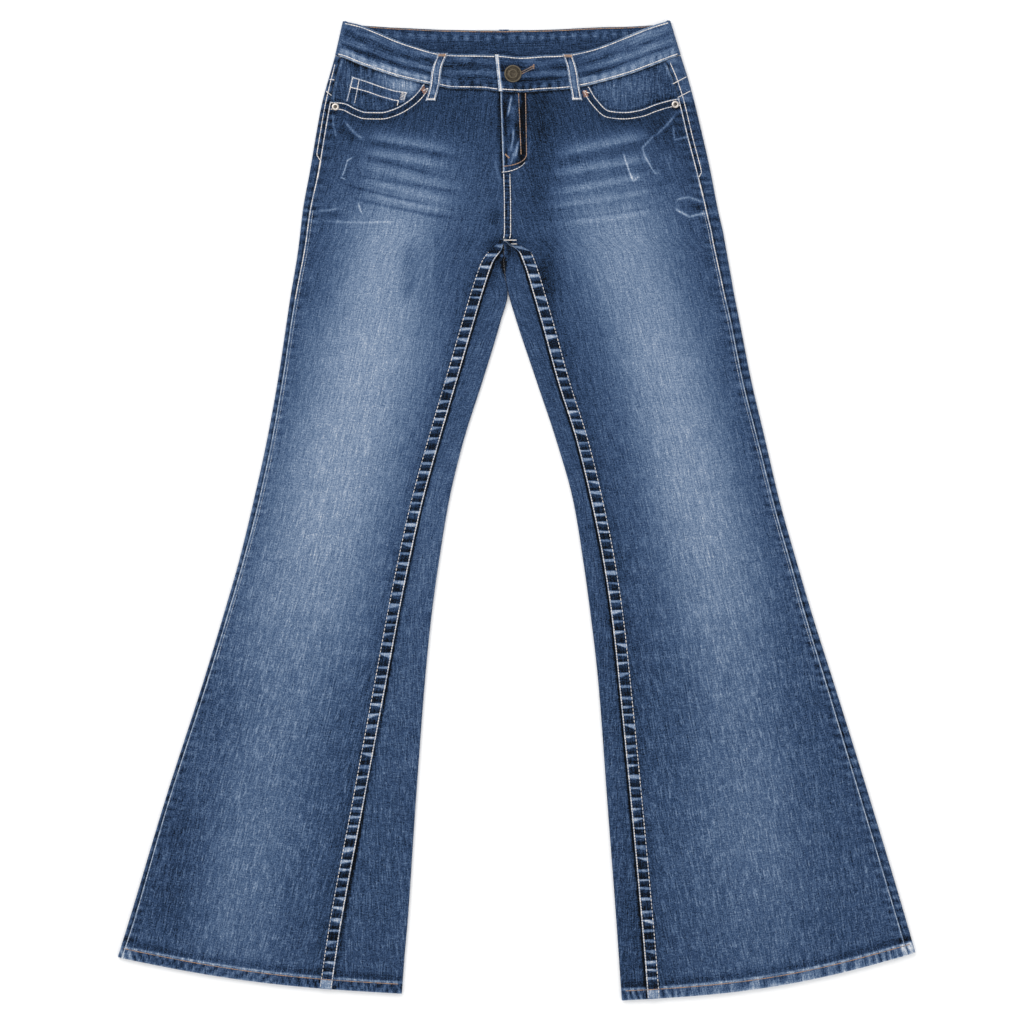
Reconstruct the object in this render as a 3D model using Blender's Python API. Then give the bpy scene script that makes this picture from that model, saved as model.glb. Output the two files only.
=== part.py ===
"""Bootcut jeans, laid flat on their back.

Seen from above: +X is the wearer's left, +Y is the waist and +Z is up. The wearer's right
leg is therefore at -X. Every size below is in millimetres, and a mesh turns them to metres.
The cloth is a wall with an outer and an inner face, worked out section by section.
"""

import math

import bmesh
import bpy

MM = 0.001

# ---- Driving sizes -----------------------------------------------------------------------

DENIM = 1.2              # one layer of denim
HEM_CLOTH = 2.1          # the turned-up hem, two layers
BAND_CLOTH = 2.4         # the doubled waistband
SEAM_GAP = 0.3           # between pieces that are sewn together
BAND_GAP = 0.7           # below the waistband, whose seam is curved
LEG_PILE = 5.0           # height of the flat leg at its folds
HIP_PILE = 6.0           # the same at the hip, over the pockets
BAND_PILE = 6.8          # the same at the waistband
MID_LEG_SLACK = 1.0      # how far the front sinks in the middle of a leg

CENTRE_X = -14.0         # centre back seam, and the pressed-together inner folds
HIP_END_Y = 304.0        # the last row of the hip, just above the crotch
CROTCH_Y = 284.0         # the first row of the legs
CROTCH_FOLD_Y = 295.0    # the same at the inner folds, which reach higher
CROTCH_FOLD_FADE = 20    # the power by which that rise dies out down the leg
CROTCH_ROWS = (298.0, 291.0, CROTCH_Y)
HEM_DEPTH = 13.0
INSEAM_HALF = 6.75       # half of the felled inseam's width
INSEAM_PITCH = 10.4      # one pucker of the inseam
INSEAM_PUCKER = 0.5
INSEAM_CLOTH = 1.0
INSEAM_TOP_ROWS = (297.0, 291.0)
LOOP_WIDTH = 11.0
LOOP_CLOTH = 1.2

BAND_COLOUR = (0.075, 0.13, 0.26)
DENIM_COLOUR = (0.09, 0.165, 0.31)
SEAM_COLOUR = (0.04, 0.07, 0.15)
DARK_COLOUR = (0.03, 0.055, 0.12)
BRASS_COLOUR = (0.09, 0.075, 0.06)
NICKEL_COLOUR = (0.45, 0.40, 0.34)

# ---- Measured rows -----------------------------------------------------------------------

# One row for each height on a leg: the outer fold, how far the outseam lies inside it, the
# centre of the inseam (above the crotch, the centre front) and the inner fold.
LEG_COLUMNS = ("y", "edge", "outseam", "inseam", "inner")
RIGHT_LEG_ROWS = (
    (540, -190.5, 7.0, -18.0, -14.0),
    (500, -199.5, 6.6, -18.0, -14.0),
    (447, -214.0, 8.2, -17.5, -14.0),
    (418, -219.5, 8.5, -16.5, -14.0),
    (374, -227.0, 8.7, -15.0, -14.0),
    (330, -235.0, 7.3, -14.0, -14.0),
    (304, -238.0, 6.6, -14.0, -14.0),
    (298, -238.7, 6.5, -15.5, -14.0),
    (284, -240.5, 6.1, -24.8, -14.0),
    (275, -241.8, 5.8, -31.4, -14.0),
    (259, -244.5, 5.3, -37.6, -12.9),
    (239, -248.0, 5.0, -44.1, -9.6),
    (209, -252.5, 4.5, -53.0, -17.0),
    (143, -262.5, 4.5, -72.2, -37.0),
    (77, -274.5, 4.8, -91.4, -58.0),
    (11, -289.0, 5.1, -109.5, -74.0),
    (-55, -305.0, 4.0, -124.2, -85.0),
    (-121, -324.0, 3.7, -137.3, -94.0),
    (-187, -344.0, 3.5, -149.5, -100.5),
    (-319, -386.5, 3.5, -174.1, -110.5),
    (-451, -426.0, 4.6, -198.8, -119.5),
    (-491, -438.5, 4.0, -205.0, -123.0),
    (-531, -451.0, 4.0, -210.7, -126.0),
)
LEFT_LEG_ROWS = (
    (540, 168.5, 20.0, -18.0, -14.0),
    (500, 180.5, 19.0, -18.0, -14.0),
    (473, 189.0, 16.5, -18.0, -14.0),
    (447, 196.0, 15.5, -17.5, -14.0),
    (418, 203.0, 15.6, -16.5, -14.0),
    (374, 213.0, 14.2, -15.0, -14.0),
    (330, 221.5, 12.0, -14.0, -14.0),
    (304, 227.5, 12.0, -14.0, -14.0),
    (298, 228.5, 12.0, -11.0, -14.0),
    (284, 231.0, 11.6, 9.4, -14.0),
    (275, 232.6, 11.3, 13.4, -13.8),
    (259, 235.5, 10.7, 19.0, -12.7),
    (239, 239.0, 10.0, 24.8, -9.2),
    (209, 245.0, 9.0, 33.6, -0.5),
    (143, 258.0, 8.7, 51.7, 21.5),
    (77, 273.5, 7.6, 72.5, 43.5),
    (11, 289.0, 6.4, 88.6, 62.0),
    (-55, 307.5, 6.3, 101.8, 73.0),
    (-121, 327.0, 7.1, 111.7, 82.0),
    (-187, 348.0, 7.8, 118.9, 89.5),
    (-319, 389.0, 9.1, 131.9, 99.5),
    (-451, 428.5, 9.0, 144.0, 109.5),
    (-486, 438.5, 8.7, 147.0, 112.0),
    (-538.5, 454.0, 8.7, 151.0, 115.5),
)

# The waistband from side fold to side fold: its top edge and lower seam in front, and its
# top edge and lower seam behind, which shows above the front's dip.
BAND_COLUMNS = ("x", "front_top", "front_seam", "back_top", "back_seam")
BAND_ROWS = (
    (-199.5, 538.5, 500.0, 538.5, 500.0),
    (-191, 537.4, 498.0, 537.4, 498.5),
    (-174, 534.0, 491.0, 533.5, 496.0),
    (-153, 526.0, 483.5, 532.0, 494.0),
    (-131, 516.5, 476.5, 530.5, 492.5),
    (-115, 511.0, 472.5, 529.8, 491.5),
    (-86, 503.0, 466.5, 528.5, 490.5),
    (-69, 501.5, 463.5, 528.2, 490.2),
    (-38, 501.0, 463.0, 527.7, 489.8),
    (-18, 500.5, 460.5, 527.5, 489.5),
    (5, 498.5, 459.5, 527.8, 489.6),
    (28, 500.0, 461.0, 528.3, 490.0),
    (55, 501.5, 463.0, 529.3, 490.8),
    (74, 505.0, 466.2, 530.2, 491.8),
    (92, 510.0, 470.6, 531.0, 493.0),
    (121, 521.5, 478.5, 531.8, 495.0),
    (150, 533.0, 489.0, 533.5, 497.5),
    (169, 538.5, 496.5, 538.5, 499.8),
    (180.5, 541.0, 500.5, 541.0, 500.5),
)

# The mouths of the front pockets, from the outseam to where the edge runs up into the band.
MOUTH_COLUMNS = ("x", "y")
RIGHT_MOUTH_ROWS = (
    (-209, 449.2), (-196, 449.0), (-187, 447.5), (-178, 442.8), (-165, 438.4), (-149, 438.2),
    (-135, 441.8), (-119, 450.8), (-107, 462.8), (-101, 475.0), (-96, 495.0),
)
LEFT_MOUTH_ROWS = (
    (184, 454.0), (170, 451.8), (151, 446.4), (136, 440.8), (118, 438.3), (102, 439.8),
    (90, 450.5), (81, 464.8), (77, 480.0), (74, 500.0),
)

HEM_COLUMNS = ("outer_y", "inner_y", "bow")
RIGHT_HEM = dict(zip(HEM_COLUMNS, (-491.0, -531.0, 7.0)))
LEFT_HEM = dict(zip(HEM_COLUMNS, (-486.0, -538.5, 11.0)))

POCKET_COLUMNS = ("x", "top", "drop", "point", "top_half", "low_half")
BACK_POCKETS = {
    "back_pocket_right": dict(zip(POCKET_COLUMNS, (-119.0, 428.0, 112.0, 20.0, 63.0, 55.0))),
    "back_pocket_left": dict(zip(POCKET_COLUMNS, (91.0, 428.0, 112.0, 20.0, 63.0, 55.0))),
}
BACK_LOOPS = {
    "belt_loop_back_right": -112.0,
    "belt_loop_centre_back": CENTRE_X,
    "belt_loop_back_left": 84.0,
}
BACK_LOOP_TOP = 529.0
BACK_LOOP_END = 480.0

# The overlap of the waistband, whose end slants, and the button that holds it.
OVERLAP_END = (-23.5, -19.5)     # x at the band's top edge and at its lower one
UNDERLAP_X = 26.0
OVERLAP_RAMP = (30.0, 46.0)
OVERLAP_RISE = BAND_CLOTH + SEAM_GAP
BUTTON_X = -3.9
BUTTONHOLE_EYE = 3.5     # half of the round end
BUTTONHOLE_END_X = 18.0
BAND_FRACTIONS = (0.0, 0.41, 0.47, 0.53, 0.59, 1.0)


# ---- Reading the rows --------------------------------------------------------------------

def ease(t):
    """0 below 0, 1 above 1, and a soft step between."""
    t = min(max(t, 0.0), 1.0)
    return t * t * (3.0 - 2.0 * t)


def mix(a, b, t):
    return a + (b - a) * t


class Curve:
    """A smooth curve through a table's rows that never swings past them."""

    def __init__(self, columns, rows, key, column):
        place = columns.index(key), columns.index(column)
        self.points = sorted((row[place[0]], row[place[1]]) for row in rows)
        rises = [(b[1] - a[1]) / (b[0] - a[0]) for a, b in zip(self.points, self.points[1:])]
        inner = [2 * p * q / (p + q) if p * q > 0 else 0.0 for p, q in zip(rises, rises[1:])]
        self.slopes = [rises[0], *inner, rises[-1]]

    def at(self, t):
        points, slopes = self.points, self.slopes
        if t <= points[0][0]:
            return points[0][1] + slopes[0] * (t - points[0][0])
        if t >= points[-1][0]:
            return points[-1][1] + slopes[-1] * (t - points[-1][0])
        k = max(i for i in range(len(points) - 1) if points[i][0] <= t)
        span = points[k + 1][0] - points[k][0]
        u = (t - points[k][0]) / span
        return (points[k][1] * (1 + 2 * u) * (1 - u) ** 2 + points[k + 1][1] * u * u * (3 - 2 * u)
                + span * slopes[k] * u * (1 - u) ** 2 - span * slopes[k + 1] * u * u * (1 - u))


class Leg:
    """One leg: its rows as curves over y. inward is the way from its outer to its inner fold."""

    def __init__(self, side, inward, rows, hem, mouth_rows, mouth_end):
        self.side = side
        self.inward = inward
        self.hem = hem
        self.edge = Curve(LEG_COLUMNS, rows, "y", "edge").at
        self.outseam = Curve(LEG_COLUMNS, rows, "y", "outseam").at
        self.inseam = Curve(LEG_COLUMNS, rows, "y", "inseam").at
        self.inner = Curve(LEG_COLUMNS, rows, "y", "inner").at
        self.mouth = Curve(MOUTH_COLUMNS, mouth_rows, "x", "y").at
        self.mouth_end = mouth_end

    def width(self, y):
        return (self.inner(y) - self.edge(y)) * self.inward - SEAM_GAP / 2

    def hem_y(self, across):
        """Lower edge of the hem, across from the outer fold (0) to the inner fold (1)."""
        chord = mix(self.hem["outer_y"], self.hem["inner_y"], across)
        return chord - self.hem["bow"] * math.sin(math.pi * min(max(across, 0), 1))

    def x(self, from_edge, y):
        return self.edge(y) + self.inward * from_edge

    def front_outseam(self, y):
        return self.edge(y) + self.inward * (self.outseam(y) + SEAM_GAP)

    def crotch_line(self, y):
        """The inseam above CROTCH_Y, straight between the front panel's rows."""
        high, low = (CROTCH_ROWS[0], CROTCH_ROWS[1]) if y > CROTCH_ROWS[1] else CROTCH_ROWS[1:]
        return mix(self.inseam(low), self.inseam(high), (y - low) / (high - low))


band = {column: Curve(BAND_COLUMNS, BAND_ROWS, "x", column).at for column in BAND_COLUMNS[1:]}
RIGHT = Leg("right", 1.0, RIGHT_LEG_ROWS, RIGHT_HEM, RIGHT_MOUTH_ROWS, -101.0)
LEFT = Leg("left", -1.0, LEFT_LEG_ROWS, LEFT_HEM, LEFT_MOUTH_ROWS, 78.0)
LEGS = (RIGHT, LEFT)


# ---- Heights of the layers ---------------------------------------------------------------

def pile(y):
    """Height of the folds above the ground."""
    return mix(LEG_PILE, HIP_PILE, ease((y - 330.0) / 100.0))


def front_height(leg, x, y):
    """Outer face of the upper layer, which sinks a little in the middle of a leg."""
    from_fold = min((x - leg.edge(y)) * leg.inward, (leg.inner(y) - x) * leg.inward)
    above_hem = y - mix(leg.hem["outer_y"], leg.hem["inner_y"], 0.5)
    slack = MID_LEG_SLACK * ease((CROTCH_Y - y) / 150.0) * ease((above_hem - 60.0) / 90.0)
    return pile(y) - slack * ease(from_fold / 30.0)


def under_lift(x, y):
    """How far the back cloth is held off the ground by the pockets and loops that it lies on."""
    lift = 0.0
    for pocket in BACK_POCKETS.values():
        half_drop = (pocket["drop"] + pocket["point"]) / 2
        beyond_x = abs(x - pocket["x"]) - pocket["top_half"] - 14.0
        beyond_y = abs(y - pocket["top"] + half_drop) - half_drop - 28.0
        lift = max(lift, 1.0 - ease(max(beyond_x, beyond_y) / 22.0))
    for loop_x in BACK_LOOPS.values():
        beyond_x = abs(x - loop_x) - LOOP_WIDTH / 2 - 11.0
        beyond_y = BACK_LOOP_END - 21.0 - y
        lift = max(lift, 1.0 - ease(max(beyond_x, beyond_y) / 15.0))
    return lift * (DENIM + SEAM_GAP)


# ---- Making meshes -----------------------------------------------------------------------

def start_scene():
    for item in list(bpy.data.objects):
        bpy.data.objects.remove(item, do_unlink=True)


def finish(name, mesh_builder, colour, roughness=0.9, metallic=0.0):
    bmesh.ops.recalc_face_normals(mesh_builder, faces=mesh_builder.faces)
    mesh = bpy.data.meshes.new(name)
    mesh_builder.to_mesh(mesh)
    mesh_builder.free()
    mesh.shade_smooth()
    mesh.set_sharp_from_angle(angle=math.radians(40))
    material = bpy.data.materials.new(name)
    material.use_nodes = True
    shader = material.node_tree.nodes["Principled BSDF"]
    shader.inputs["Base Color"].default_value = (*colour, 1.0)
    shader.inputs["Roughness"].default_value = roughness
    shader.inputs["Metallic"].default_value = metallic
    mesh.materials.append(material)
    item = bpy.data.objects.new(name, mesh)
    bpy.context.scene.collection.objects.link(item)
    return item


def wall(name, outer, inner, colour, holes=()):
    """A closed wall between two grids of points. A point that is None leaves a notch, and a
    cell (row, column) in holes is cut through."""
    builder = bmesh.new()
    grids = []
    for grid in (outer, inner):
        grids.append([[builder.verts.new([c * MM for c in p]) if p else None for p in row]
                      for row in grid])
    edge_uses = {}
    for r in range(len(outer) - 1):
        for c in range(len(outer[0]) - 1):
            corners = ((r, c), (r, c + 1), (r + 1, c + 1), (r + 1, c))
            if (r, c) in holes or any(outer[i][j] is None for i, j in corners):
                continue
            builder.faces.new([grids[0][i][j] for i, j in corners])
            builder.faces.new([grids[1][i][j] for i, j in reversed(corners)])
            for start, end in zip(corners, corners[1:] + corners[:1]):
                if (end, start) in edge_uses:
                    del edge_uses[end, start]
                else:
                    edge_uses[start, end] = True
    for (i, j), (m, n) in edge_uses:
        builder.faces.new([grids[0][m][n], grids[0][i][j], grids[1][i][j], grids[1][m][n]])
    loose = [vertex for vertex in builder.verts if not vertex.link_faces]
    bmesh.ops.delete(builder, geom=loose, context="VERTS")
    return finish(name, builder, colour)


def sheet(name, rows, thickness, colour):
    """A wall whose inner face lies straight below its outer face."""
    inner = [[(x, y, z - thickness) for x, y, z in row] for row in rows]
    return wall(name, rows, inner, colour)


# ---- Rows of a leg -----------------------------------------------------------------------

LEG_ROW_COUNT = 16


def leg_levels():
    """Levels down a leg, 0 at the crotch and 1 at the hem's lower edge, closer near the crotch,
    with the two rows between which the cloth thickens to the hem."""
    length = CROTCH_Y - mix(RIGHT_HEM["outer_y"], RIGHT_HEM["inner_y"], 0.5)
    hem_top = 1.0 - HEM_DEPTH / length
    levels = [(k / LEG_ROW_COUNT) ** 1.25 for k in range(LEG_ROW_COUNT)]
    return levels + [hem_top - 2.0 / length, hem_top, 1.0]


def leg_cloth(level):
    return HEM_CLOTH if level > leg_levels()[-3] + 0.0001 else DENIM


def leg_y(leg, level, across):
    return mix(CROTCH_Y, leg.hem_y(across), level)


def settle(leg, level, x_at):
    """Find the height of the row where it crosses the line x_at(y)."""
    y = leg_y(leg, level, 0.5)
    for _ in range(6):
        across = (x_at(y) - leg.edge(y)) * leg.inward / leg.width(y)
        y = leg_y(leg, level, across)
    return y


# ---- Front panels ------------------------------------------------------------------------

# Across the front from the outseam; closest where the pocket mouth runs up into the band.
FRONT_FRACTIONS = (0.0, 0.1, 0.2, 0.3, 0.4, 0.48, 0.54, 0.59, 0.64, 0.72, 0.85, 1.0)
SEAM_DISTANCES = (30.0, 28.0, INSEAM_HALF, SEAM_GAP / 2)
MOUTH_BAND = (9.5, 11.5)     # the turned and doubly stitched edge of the pocket mouth
MOUTH_RELIEF = 0.6
FLY_RELIEF = 0.9
FLY_SIDE_X = 12.0
FLY_END_Y = 373.0
HIP_LEVELS = (405.0, 374.5, 371.5, 348.0, 325.0, HIP_END_Y, *CROTCH_ROWS[:2])


def front_top(leg, x):
    """Upper edge of the front panel: the pocket mouth, then the waistband's seam."""
    return min(leg.mouth(x), band["front_seam"](x) - BAND_GAP)


def front_column(leg, column):
    """The line x(y) that a column of the front panel follows."""
    def line(y):
        if column < len(FRONT_FRACTIONS):
            far = leg.inseam(y) - leg.inward * (SEAM_DISTANCES[0] + 3.0)
            return mix(leg.front_outseam(y), far, FRONT_FRACTIONS[column])
        return leg.inseam(y) - leg.inward * SEAM_DISTANCES[column - len(FRONT_FRACTIONS)]
    return line


def front_relief(leg, x, y, from_top):
    """The doubled pocket edge, and the fly on the wearer's left."""
    relief = 0.0
    outward_of_mouth = (leg.mouth_end - x) * leg.inward
    if outward_of_mouth > 2.0 and from_top < MOUTH_BAND[0] + 0.1:
        relief = MOUTH_RELIEF
    if leg is LEFT and x < FLY_SIDE_X and y > FLY_END_Y:
        relief = FLY_RELIEF
    return relief


def front_rows(leg):
    columns = [front_column(leg, c) for c in range(len(FRONT_FRACTIONS) + len(SEAM_DISTANCES))]
    rows = []
    for from_top in (0.0, *MOUTH_BAND):
        row = []
        for line in columns:
            y = 450.0
            for _ in range(8):
                y = front_top(leg, line(y)) - from_top
            x = line(y)
            row.append((x, y, front_height(leg, x, y) + front_relief(leg, x, y, from_top)))
        rows.append(row)
    for y in HIP_LEVELS:
        row = []
        for line in columns:
            x = line(y)
            row.append((x, y, front_height(leg, x, y) + front_relief(leg, x, y, 100.0)))
        rows.append(row)
    for level in leg_levels():
        row = []
        for line in columns:
            y = settle(leg, level, line)
            x = line(y)
            row.append((x, y, front_height(leg, x, y)))
        rows.append(row)
    return rows


def make_front_panel(leg):
    rows = front_rows(leg)
    hip_count = len(rows) - len(leg_levels())
    cloth = [DENIM] * hip_count + [leg_cloth(level) for level in leg_levels()]
    inner = []
    for r, row in enumerate(rows):
        inner_row = []
        for x, y, z in row:
            relief = front_relief(leg, x, y, MOUTH_BAND[0] if r == 1 else 100.0 * min(r, 1))
            if r >= hip_count:
                relief = 0.0
            inner_row.append((x, y, z - relief - cloth[r]))
        inner.append(inner_row)
    wall("front_panel_" + leg.side, rows, inner, DENIM_COLOUR)


# ---- Back panels and yokes: walls that wrap round the folds -------------------------------

STRIP_STEPS = 2          # the strip of back cloth that shows beside the outseam
FOLD_STEPS = 4
UNDER_STEPS = 12
YOKE_UNDER_STEPS = 20


def fold_point(leg, y, from_edge, angle, cloth, from_outer):
    """Outer and inner point on a rounded fold; angle 0 is its top and 1 its foot."""
    radius = pile(y) / 2
    turn = math.pi * angle
    points = []
    for r in (radius, radius - cloth):
        reach = r * math.sin(turn)
        away = radius - reach if from_outer else from_edge - radius + reach
        points.append((leg.x(away, y), y, radius + r * math.cos(turn)))
    return points


def strip_point(leg, x, y, cloth):
    z = front_height(leg, x, y)
    return (x, y, z), (x, y, z - cloth)


def under_point(x, y, cloth):
    lift = under_lift(x, y)
    return (x, y, lift), (x, y, lift + cloth)


def outer_points(leg, y_at, cloth):
    """The strip beside the outseam and the outer fold, as far as its foot."""
    pairs = []
    for k in range(STRIP_STEPS):
        def line(y):
            seam = leg.outseam(y) - SEAM_GAP / 2
            return leg.x(mix(seam, pile(y) / 2, k / STRIP_STEPS), y)
        y = y_at("strip", line)
        pairs.append(strip_point(leg, line(y), y, cloth))
    for k in range(FOLD_STEPS + 1):
        y = y_at("fold", leg.edge)
        pairs.append(fold_point(leg, y, 0.0, k / FOLD_STEPS, cloth, True))
    return pairs


def hip_row(leg, y_at, steps):
    """One row above the crotch: strip, outer fold and the cloth below, to the centre back."""
    pairs = outer_points(leg, y_at, DENIM)
    for k in range(1, steps + 1):
        def line(y):
            return leg.x(mix(pile(y) / 2, leg.width(y), k / steps), y)
        y = y_at("under", line)
        pairs.append(under_point(line(y), y, DENIM))
    return pairs


INNER_FRACTIONS = (0.0, 0.33, 0.67)


def leg_row(leg, level):
    """One row below the crotch, all round the leg to the inseam."""
    cloth = leg_cloth(level)
    pairs = outer_points(leg, lambda part, line: settle(leg, level, line), cloth)
    raised = (CROTCH_FOLD_Y - CROTCH_Y) * (1.0 - level) ** CROTCH_FOLD_FADE
    for k in range(1, UNDER_STEPS + 1):
        def line(y):
            return leg.x(mix(pile(y) / 2, leg.width(y) - pile(y) / 2, k / UNDER_STEPS), y)
        y = settle(leg, level, line) + raised * ease(k - UNDER_STEPS + 1.5)
        pairs.append(under_point(line(y), y, cloth))
    for k in range(FOLD_STEPS - 1, -1, -1):
        y = settle(leg, level, leg.inner) + raised
        pairs.append(fold_point(leg, y, leg.width(y), k / FOLD_STEPS, cloth, False))
    for k, fraction in enumerate((*INNER_FRACTIONS[1:], 1.0, 2.0)):
        def line(y):
            seam = leg.inseam(y) + leg.inward * SEAM_GAP / 2
            if fraction == 2.0:
                return seam
            beside = leg.inseam(y) + leg.inward * INSEAM_HALF
            return mix(leg.x(leg.width(y) - pile(y) / 2, y), beside, fraction)
        y = settle(leg, level, line)
        x = line(y)
        if level == 0.0:
            y = mix(CROTCH_FOLD_Y, CROTCH_Y, (k + 1) / 4)
            x = leg.crotch_line(y) + leg.inward * SEAM_GAP
        pairs.append(strip_point(leg, x, y, cloth))
    return pairs


def split(pair_rows, width):
    """Outer and inner grids from rows of pairs, with None where a row is short."""
    full = [row + [(None, None)] * (width - len(row)) for row in pair_rows]
    return [[p[0] for p in row] for row in full], [[p[1] for p in row] for row in full]


YOKE_SIDE_Y = {"right": 468.0, "left": 473.0}
YOKE_CENTRE_Y = 432.0


def yoke_seam(leg, part, x):
    """The seam between yoke and back panel: level at the side, falling to the centre back."""
    at_side = YOKE_SIDE_Y[leg.side]
    if part != "under":
        return at_side
    side_x = leg.edge(at_side)
    across = (x - side_x) / (CENTRE_X - side_x)
    return mix(at_side, YOKE_CENTRE_Y, min(max(across, 0.0), 1.0))


def band_edge(leg, part, x):
    """The lower edge of the waistband above a point of the back cloth."""
    if part == "under":
        return band["back_seam"](x)
    if part == "fold":
        return 500.0
    return min(band["front_seam"](x), 500.0)


def make_back(leg):
    yoke_rows = []
    for v in (0.0, 0.33, 0.66, 1.0):
        def y_at(part, line):
            y = 480.0
            for _ in range(6):
                x = line(y)
                y = mix(band_edge(leg, part, x) - BAND_GAP, yoke_seam(leg, part, x), v)
            return y
        yoke_rows.append(hip_row(leg, y_at, YOKE_UNDER_STEPS))
    outer, inner = split(yoke_rows, len(yoke_rows[0]))
    wall("back_yoke_" + leg.side, outer, inner, DENIM_COLOUR)

    rows = []
    for k in range(7):
        def y_at(part, line):
            y = 400.0
            for _ in range(6):
                y = mix(yoke_seam(leg, part, line(y)) - SEAM_GAP, HIP_END_Y, k / 6)
            return y
        rows.append(hip_row(leg, y_at, UNDER_STEPS))
    rows += [leg_row(leg, level) for level in leg_levels()]
    outer, inner = split(rows, len(rows[-1]))
    wall("back_panel_" + leg.side, outer, inner, DENIM_COLOUR)


# ---- Inseams: felled and puckered, on the panels' own points -------------------------------

def make_inseam(leg):
    """A flat-felled strip over the joint of front and back, with a raised rung at every
    pucker. Between two rows of the panels it follows their straight cloth, and its top end
    follows the crotch line."""
    levels = leg_levels()
    front_side = [row[-2] for row in front_rows(leg)[-len(levels):]]
    back_side = [leg_row(leg, level)[-2][0] for level in levels]
    back_side[0] = (leg.inseam(CROTCH_Y) + leg.inward * INSEAM_HALF, CROTCH_Y, back_side[0][2])
    outer, inner = [], []

    def add_row(points, rung):
        inner.append([(x, y, z + SEAM_GAP) for x, y, z in points])
        outer.append([(x, y, z + SEAM_GAP + INSEAM_CLOTH + rung) for x, y, z in points])

    for y, half in zip(INSEAM_TOP_ROWS, (2.5, 4.5)):
        x = leg.crotch_line(y)
        add_row([(x + side * leg.inward * half, y, pile(y)) for side in (-1, 1)], 0.0)
    steps = 2 * round((CROTCH_Y - leg.hem_y(0.7)) / INSEAM_PITCH)
    for n in range(steps + 1):
        k = max(i for i in range(len(levels) - 1) if levels[i] <= n / steps)
        t = (n / steps - levels[k]) / (levels[k + 1] - levels[k])
        points = [[mix(side[k][i], side[k + 1][i], t) for i in range(3)]
                  for side in (front_side, back_side)]
        add_row(points, INSEAM_PUCKER * (n % 2))
    wall("inseam_" + leg.side, outer, inner, SEAM_COLOUR)


RISE_TOP_Y = 371.0
RISE_FOOT_Y = 299.0
RISE_HALF = 4.2
RISE_STEPS = 8


def make_front_rise():
    """The felled seam from the foot of the fly to the crotch."""
    rows = []
    for k in range(RISE_STEPS + 1):
        y = mix(RISE_TOP_Y, RISE_FOOT_Y, k / RISE_STEPS)
        x = RIGHT.inseam(y) + RISE_HALF
        z = pile(y) + SEAM_GAP + INSEAM_CLOTH
        rows.append([(x + side * RISE_HALF, y, z) for side in (-1, 0, 1)])
    sheet("front_rise_seam", rows, INSEAM_CLOTH, SEAM_COLOUR)


# ---- Waistband -----------------------------------------------------------------------------

BAND_STEP = 10.0
UNDERLAP_STEP = 15.0
BAND_FOLD_STEPS = 6
BAND_TOP_CORNER = {"right": (-191.0, 537.6), "left": (169.0, 538.3)}
BAND_LOW_CORNER = {"right": (-199.5, 500.2), "left": (180.5, 500.7)}


def band_front_height(x, overlap):
    """Outer face of the band in front; its left end lies over the underlap."""
    if not overlap:
        return BAND_PILE
    start, end = OVERLAP_RAMP
    return BAND_PILE + OVERLAP_RISE * (1.0 - ease((x - start) / (end - start)))


def band_line(leg, v):
    """The side fold of the waistband at a fraction v down its width."""
    top, low = BAND_TOP_CORNER[leg.side], BAND_LOW_CORNER[leg.side]
    return mix(top[0], low[0], v), mix(top[1], low[1], v)


def make_waistband():
    radius = BAND_PILE / 2
    right_mid, left_mid = band_line(RIGHT, 0.5)[0], band_line(LEFT, 0.5)[0]
    under_count = round((UNDERLAP_X - right_mid) / UNDERLAP_STEP)
    back_count = round((left_mid - right_mid) / BAND_STEP)
    side_count = round((left_mid - OVERLAP_RAMP[1]) / BAND_STEP)
    eye = BUTTON_X - BUTTONHOLE_EYE, BUTTON_X + BUTTONHOLE_EYE
    ramp_stops = [mix(*OVERLAP_RAMP, k / 3) for k in range(4)]
    outer, inner = [], []
    for v in BAND_FRACTIONS:
        pairs = []

        def add_front(x, overlap):
            y = mix(band["front_top"](x), band["front_seam"](x), v)
            z = band_front_height(x, overlap)
            pairs.append(((x, y, z), (x, y, z - BAND_CLOTH)))

        def add_fold(leg, turn):
            fold_x, fold_y = band_line(leg, v)
            point = []
            for r in (radius, radius - BAND_CLOTH):
                reach = radius - r * math.sin(turn)
                point.append((fold_x + leg.inward * reach, fold_y, radius + r * math.cos(turn)))
            pairs.append(point)

        right_x, left_x = band_line(RIGHT, v)[0] + radius, band_line(LEFT, v)[0] - radius
        for k in range(under_count):
            add_front(mix(UNDERLAP_X, right_x, k / under_count), False)
        for k in range(BAND_FOLD_STEPS + 1):
            add_fold(RIGHT, math.pi * k / BAND_FOLD_STEPS)
        for k in range(1, back_count):
            x = mix(right_x, left_x, k / back_count)
            y = mix(band["back_top"](x), band["back_seam"](x), v)
            lift = under_lift(x, y)
            pairs.append(((x, y, lift), (x, y, lift + BAND_CLOTH)))
        for k in range(BAND_FOLD_STEPS + 1):
            add_fold(LEFT, math.pi * (1 - k / BAND_FOLD_STEPS))
        for k in range(1, side_count):
            add_front(mix(left_x, OVERLAP_RAMP[1], k / side_count), True)
        for x in reversed([mix(*OVERLAP_END, v), *eye, BUTTONHOLE_END_X, *ramp_stops]):
            add_front(x, True)
        outer.append([pair[0] for pair in pairs])
        inner.append([pair[1] for pair in pairs])
    last = len(outer[0]) - 1
    eye_cells = {(r, last - 2) for r in (1, 2, 3)}
    slit_cell = {(2, last - 3)}
    wall("waistband", outer, inner, BAND_COLOUR, eye_cells | slit_cell)


# ---- Pocket facings and coin pocket ---------------------------------------------------------

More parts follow.
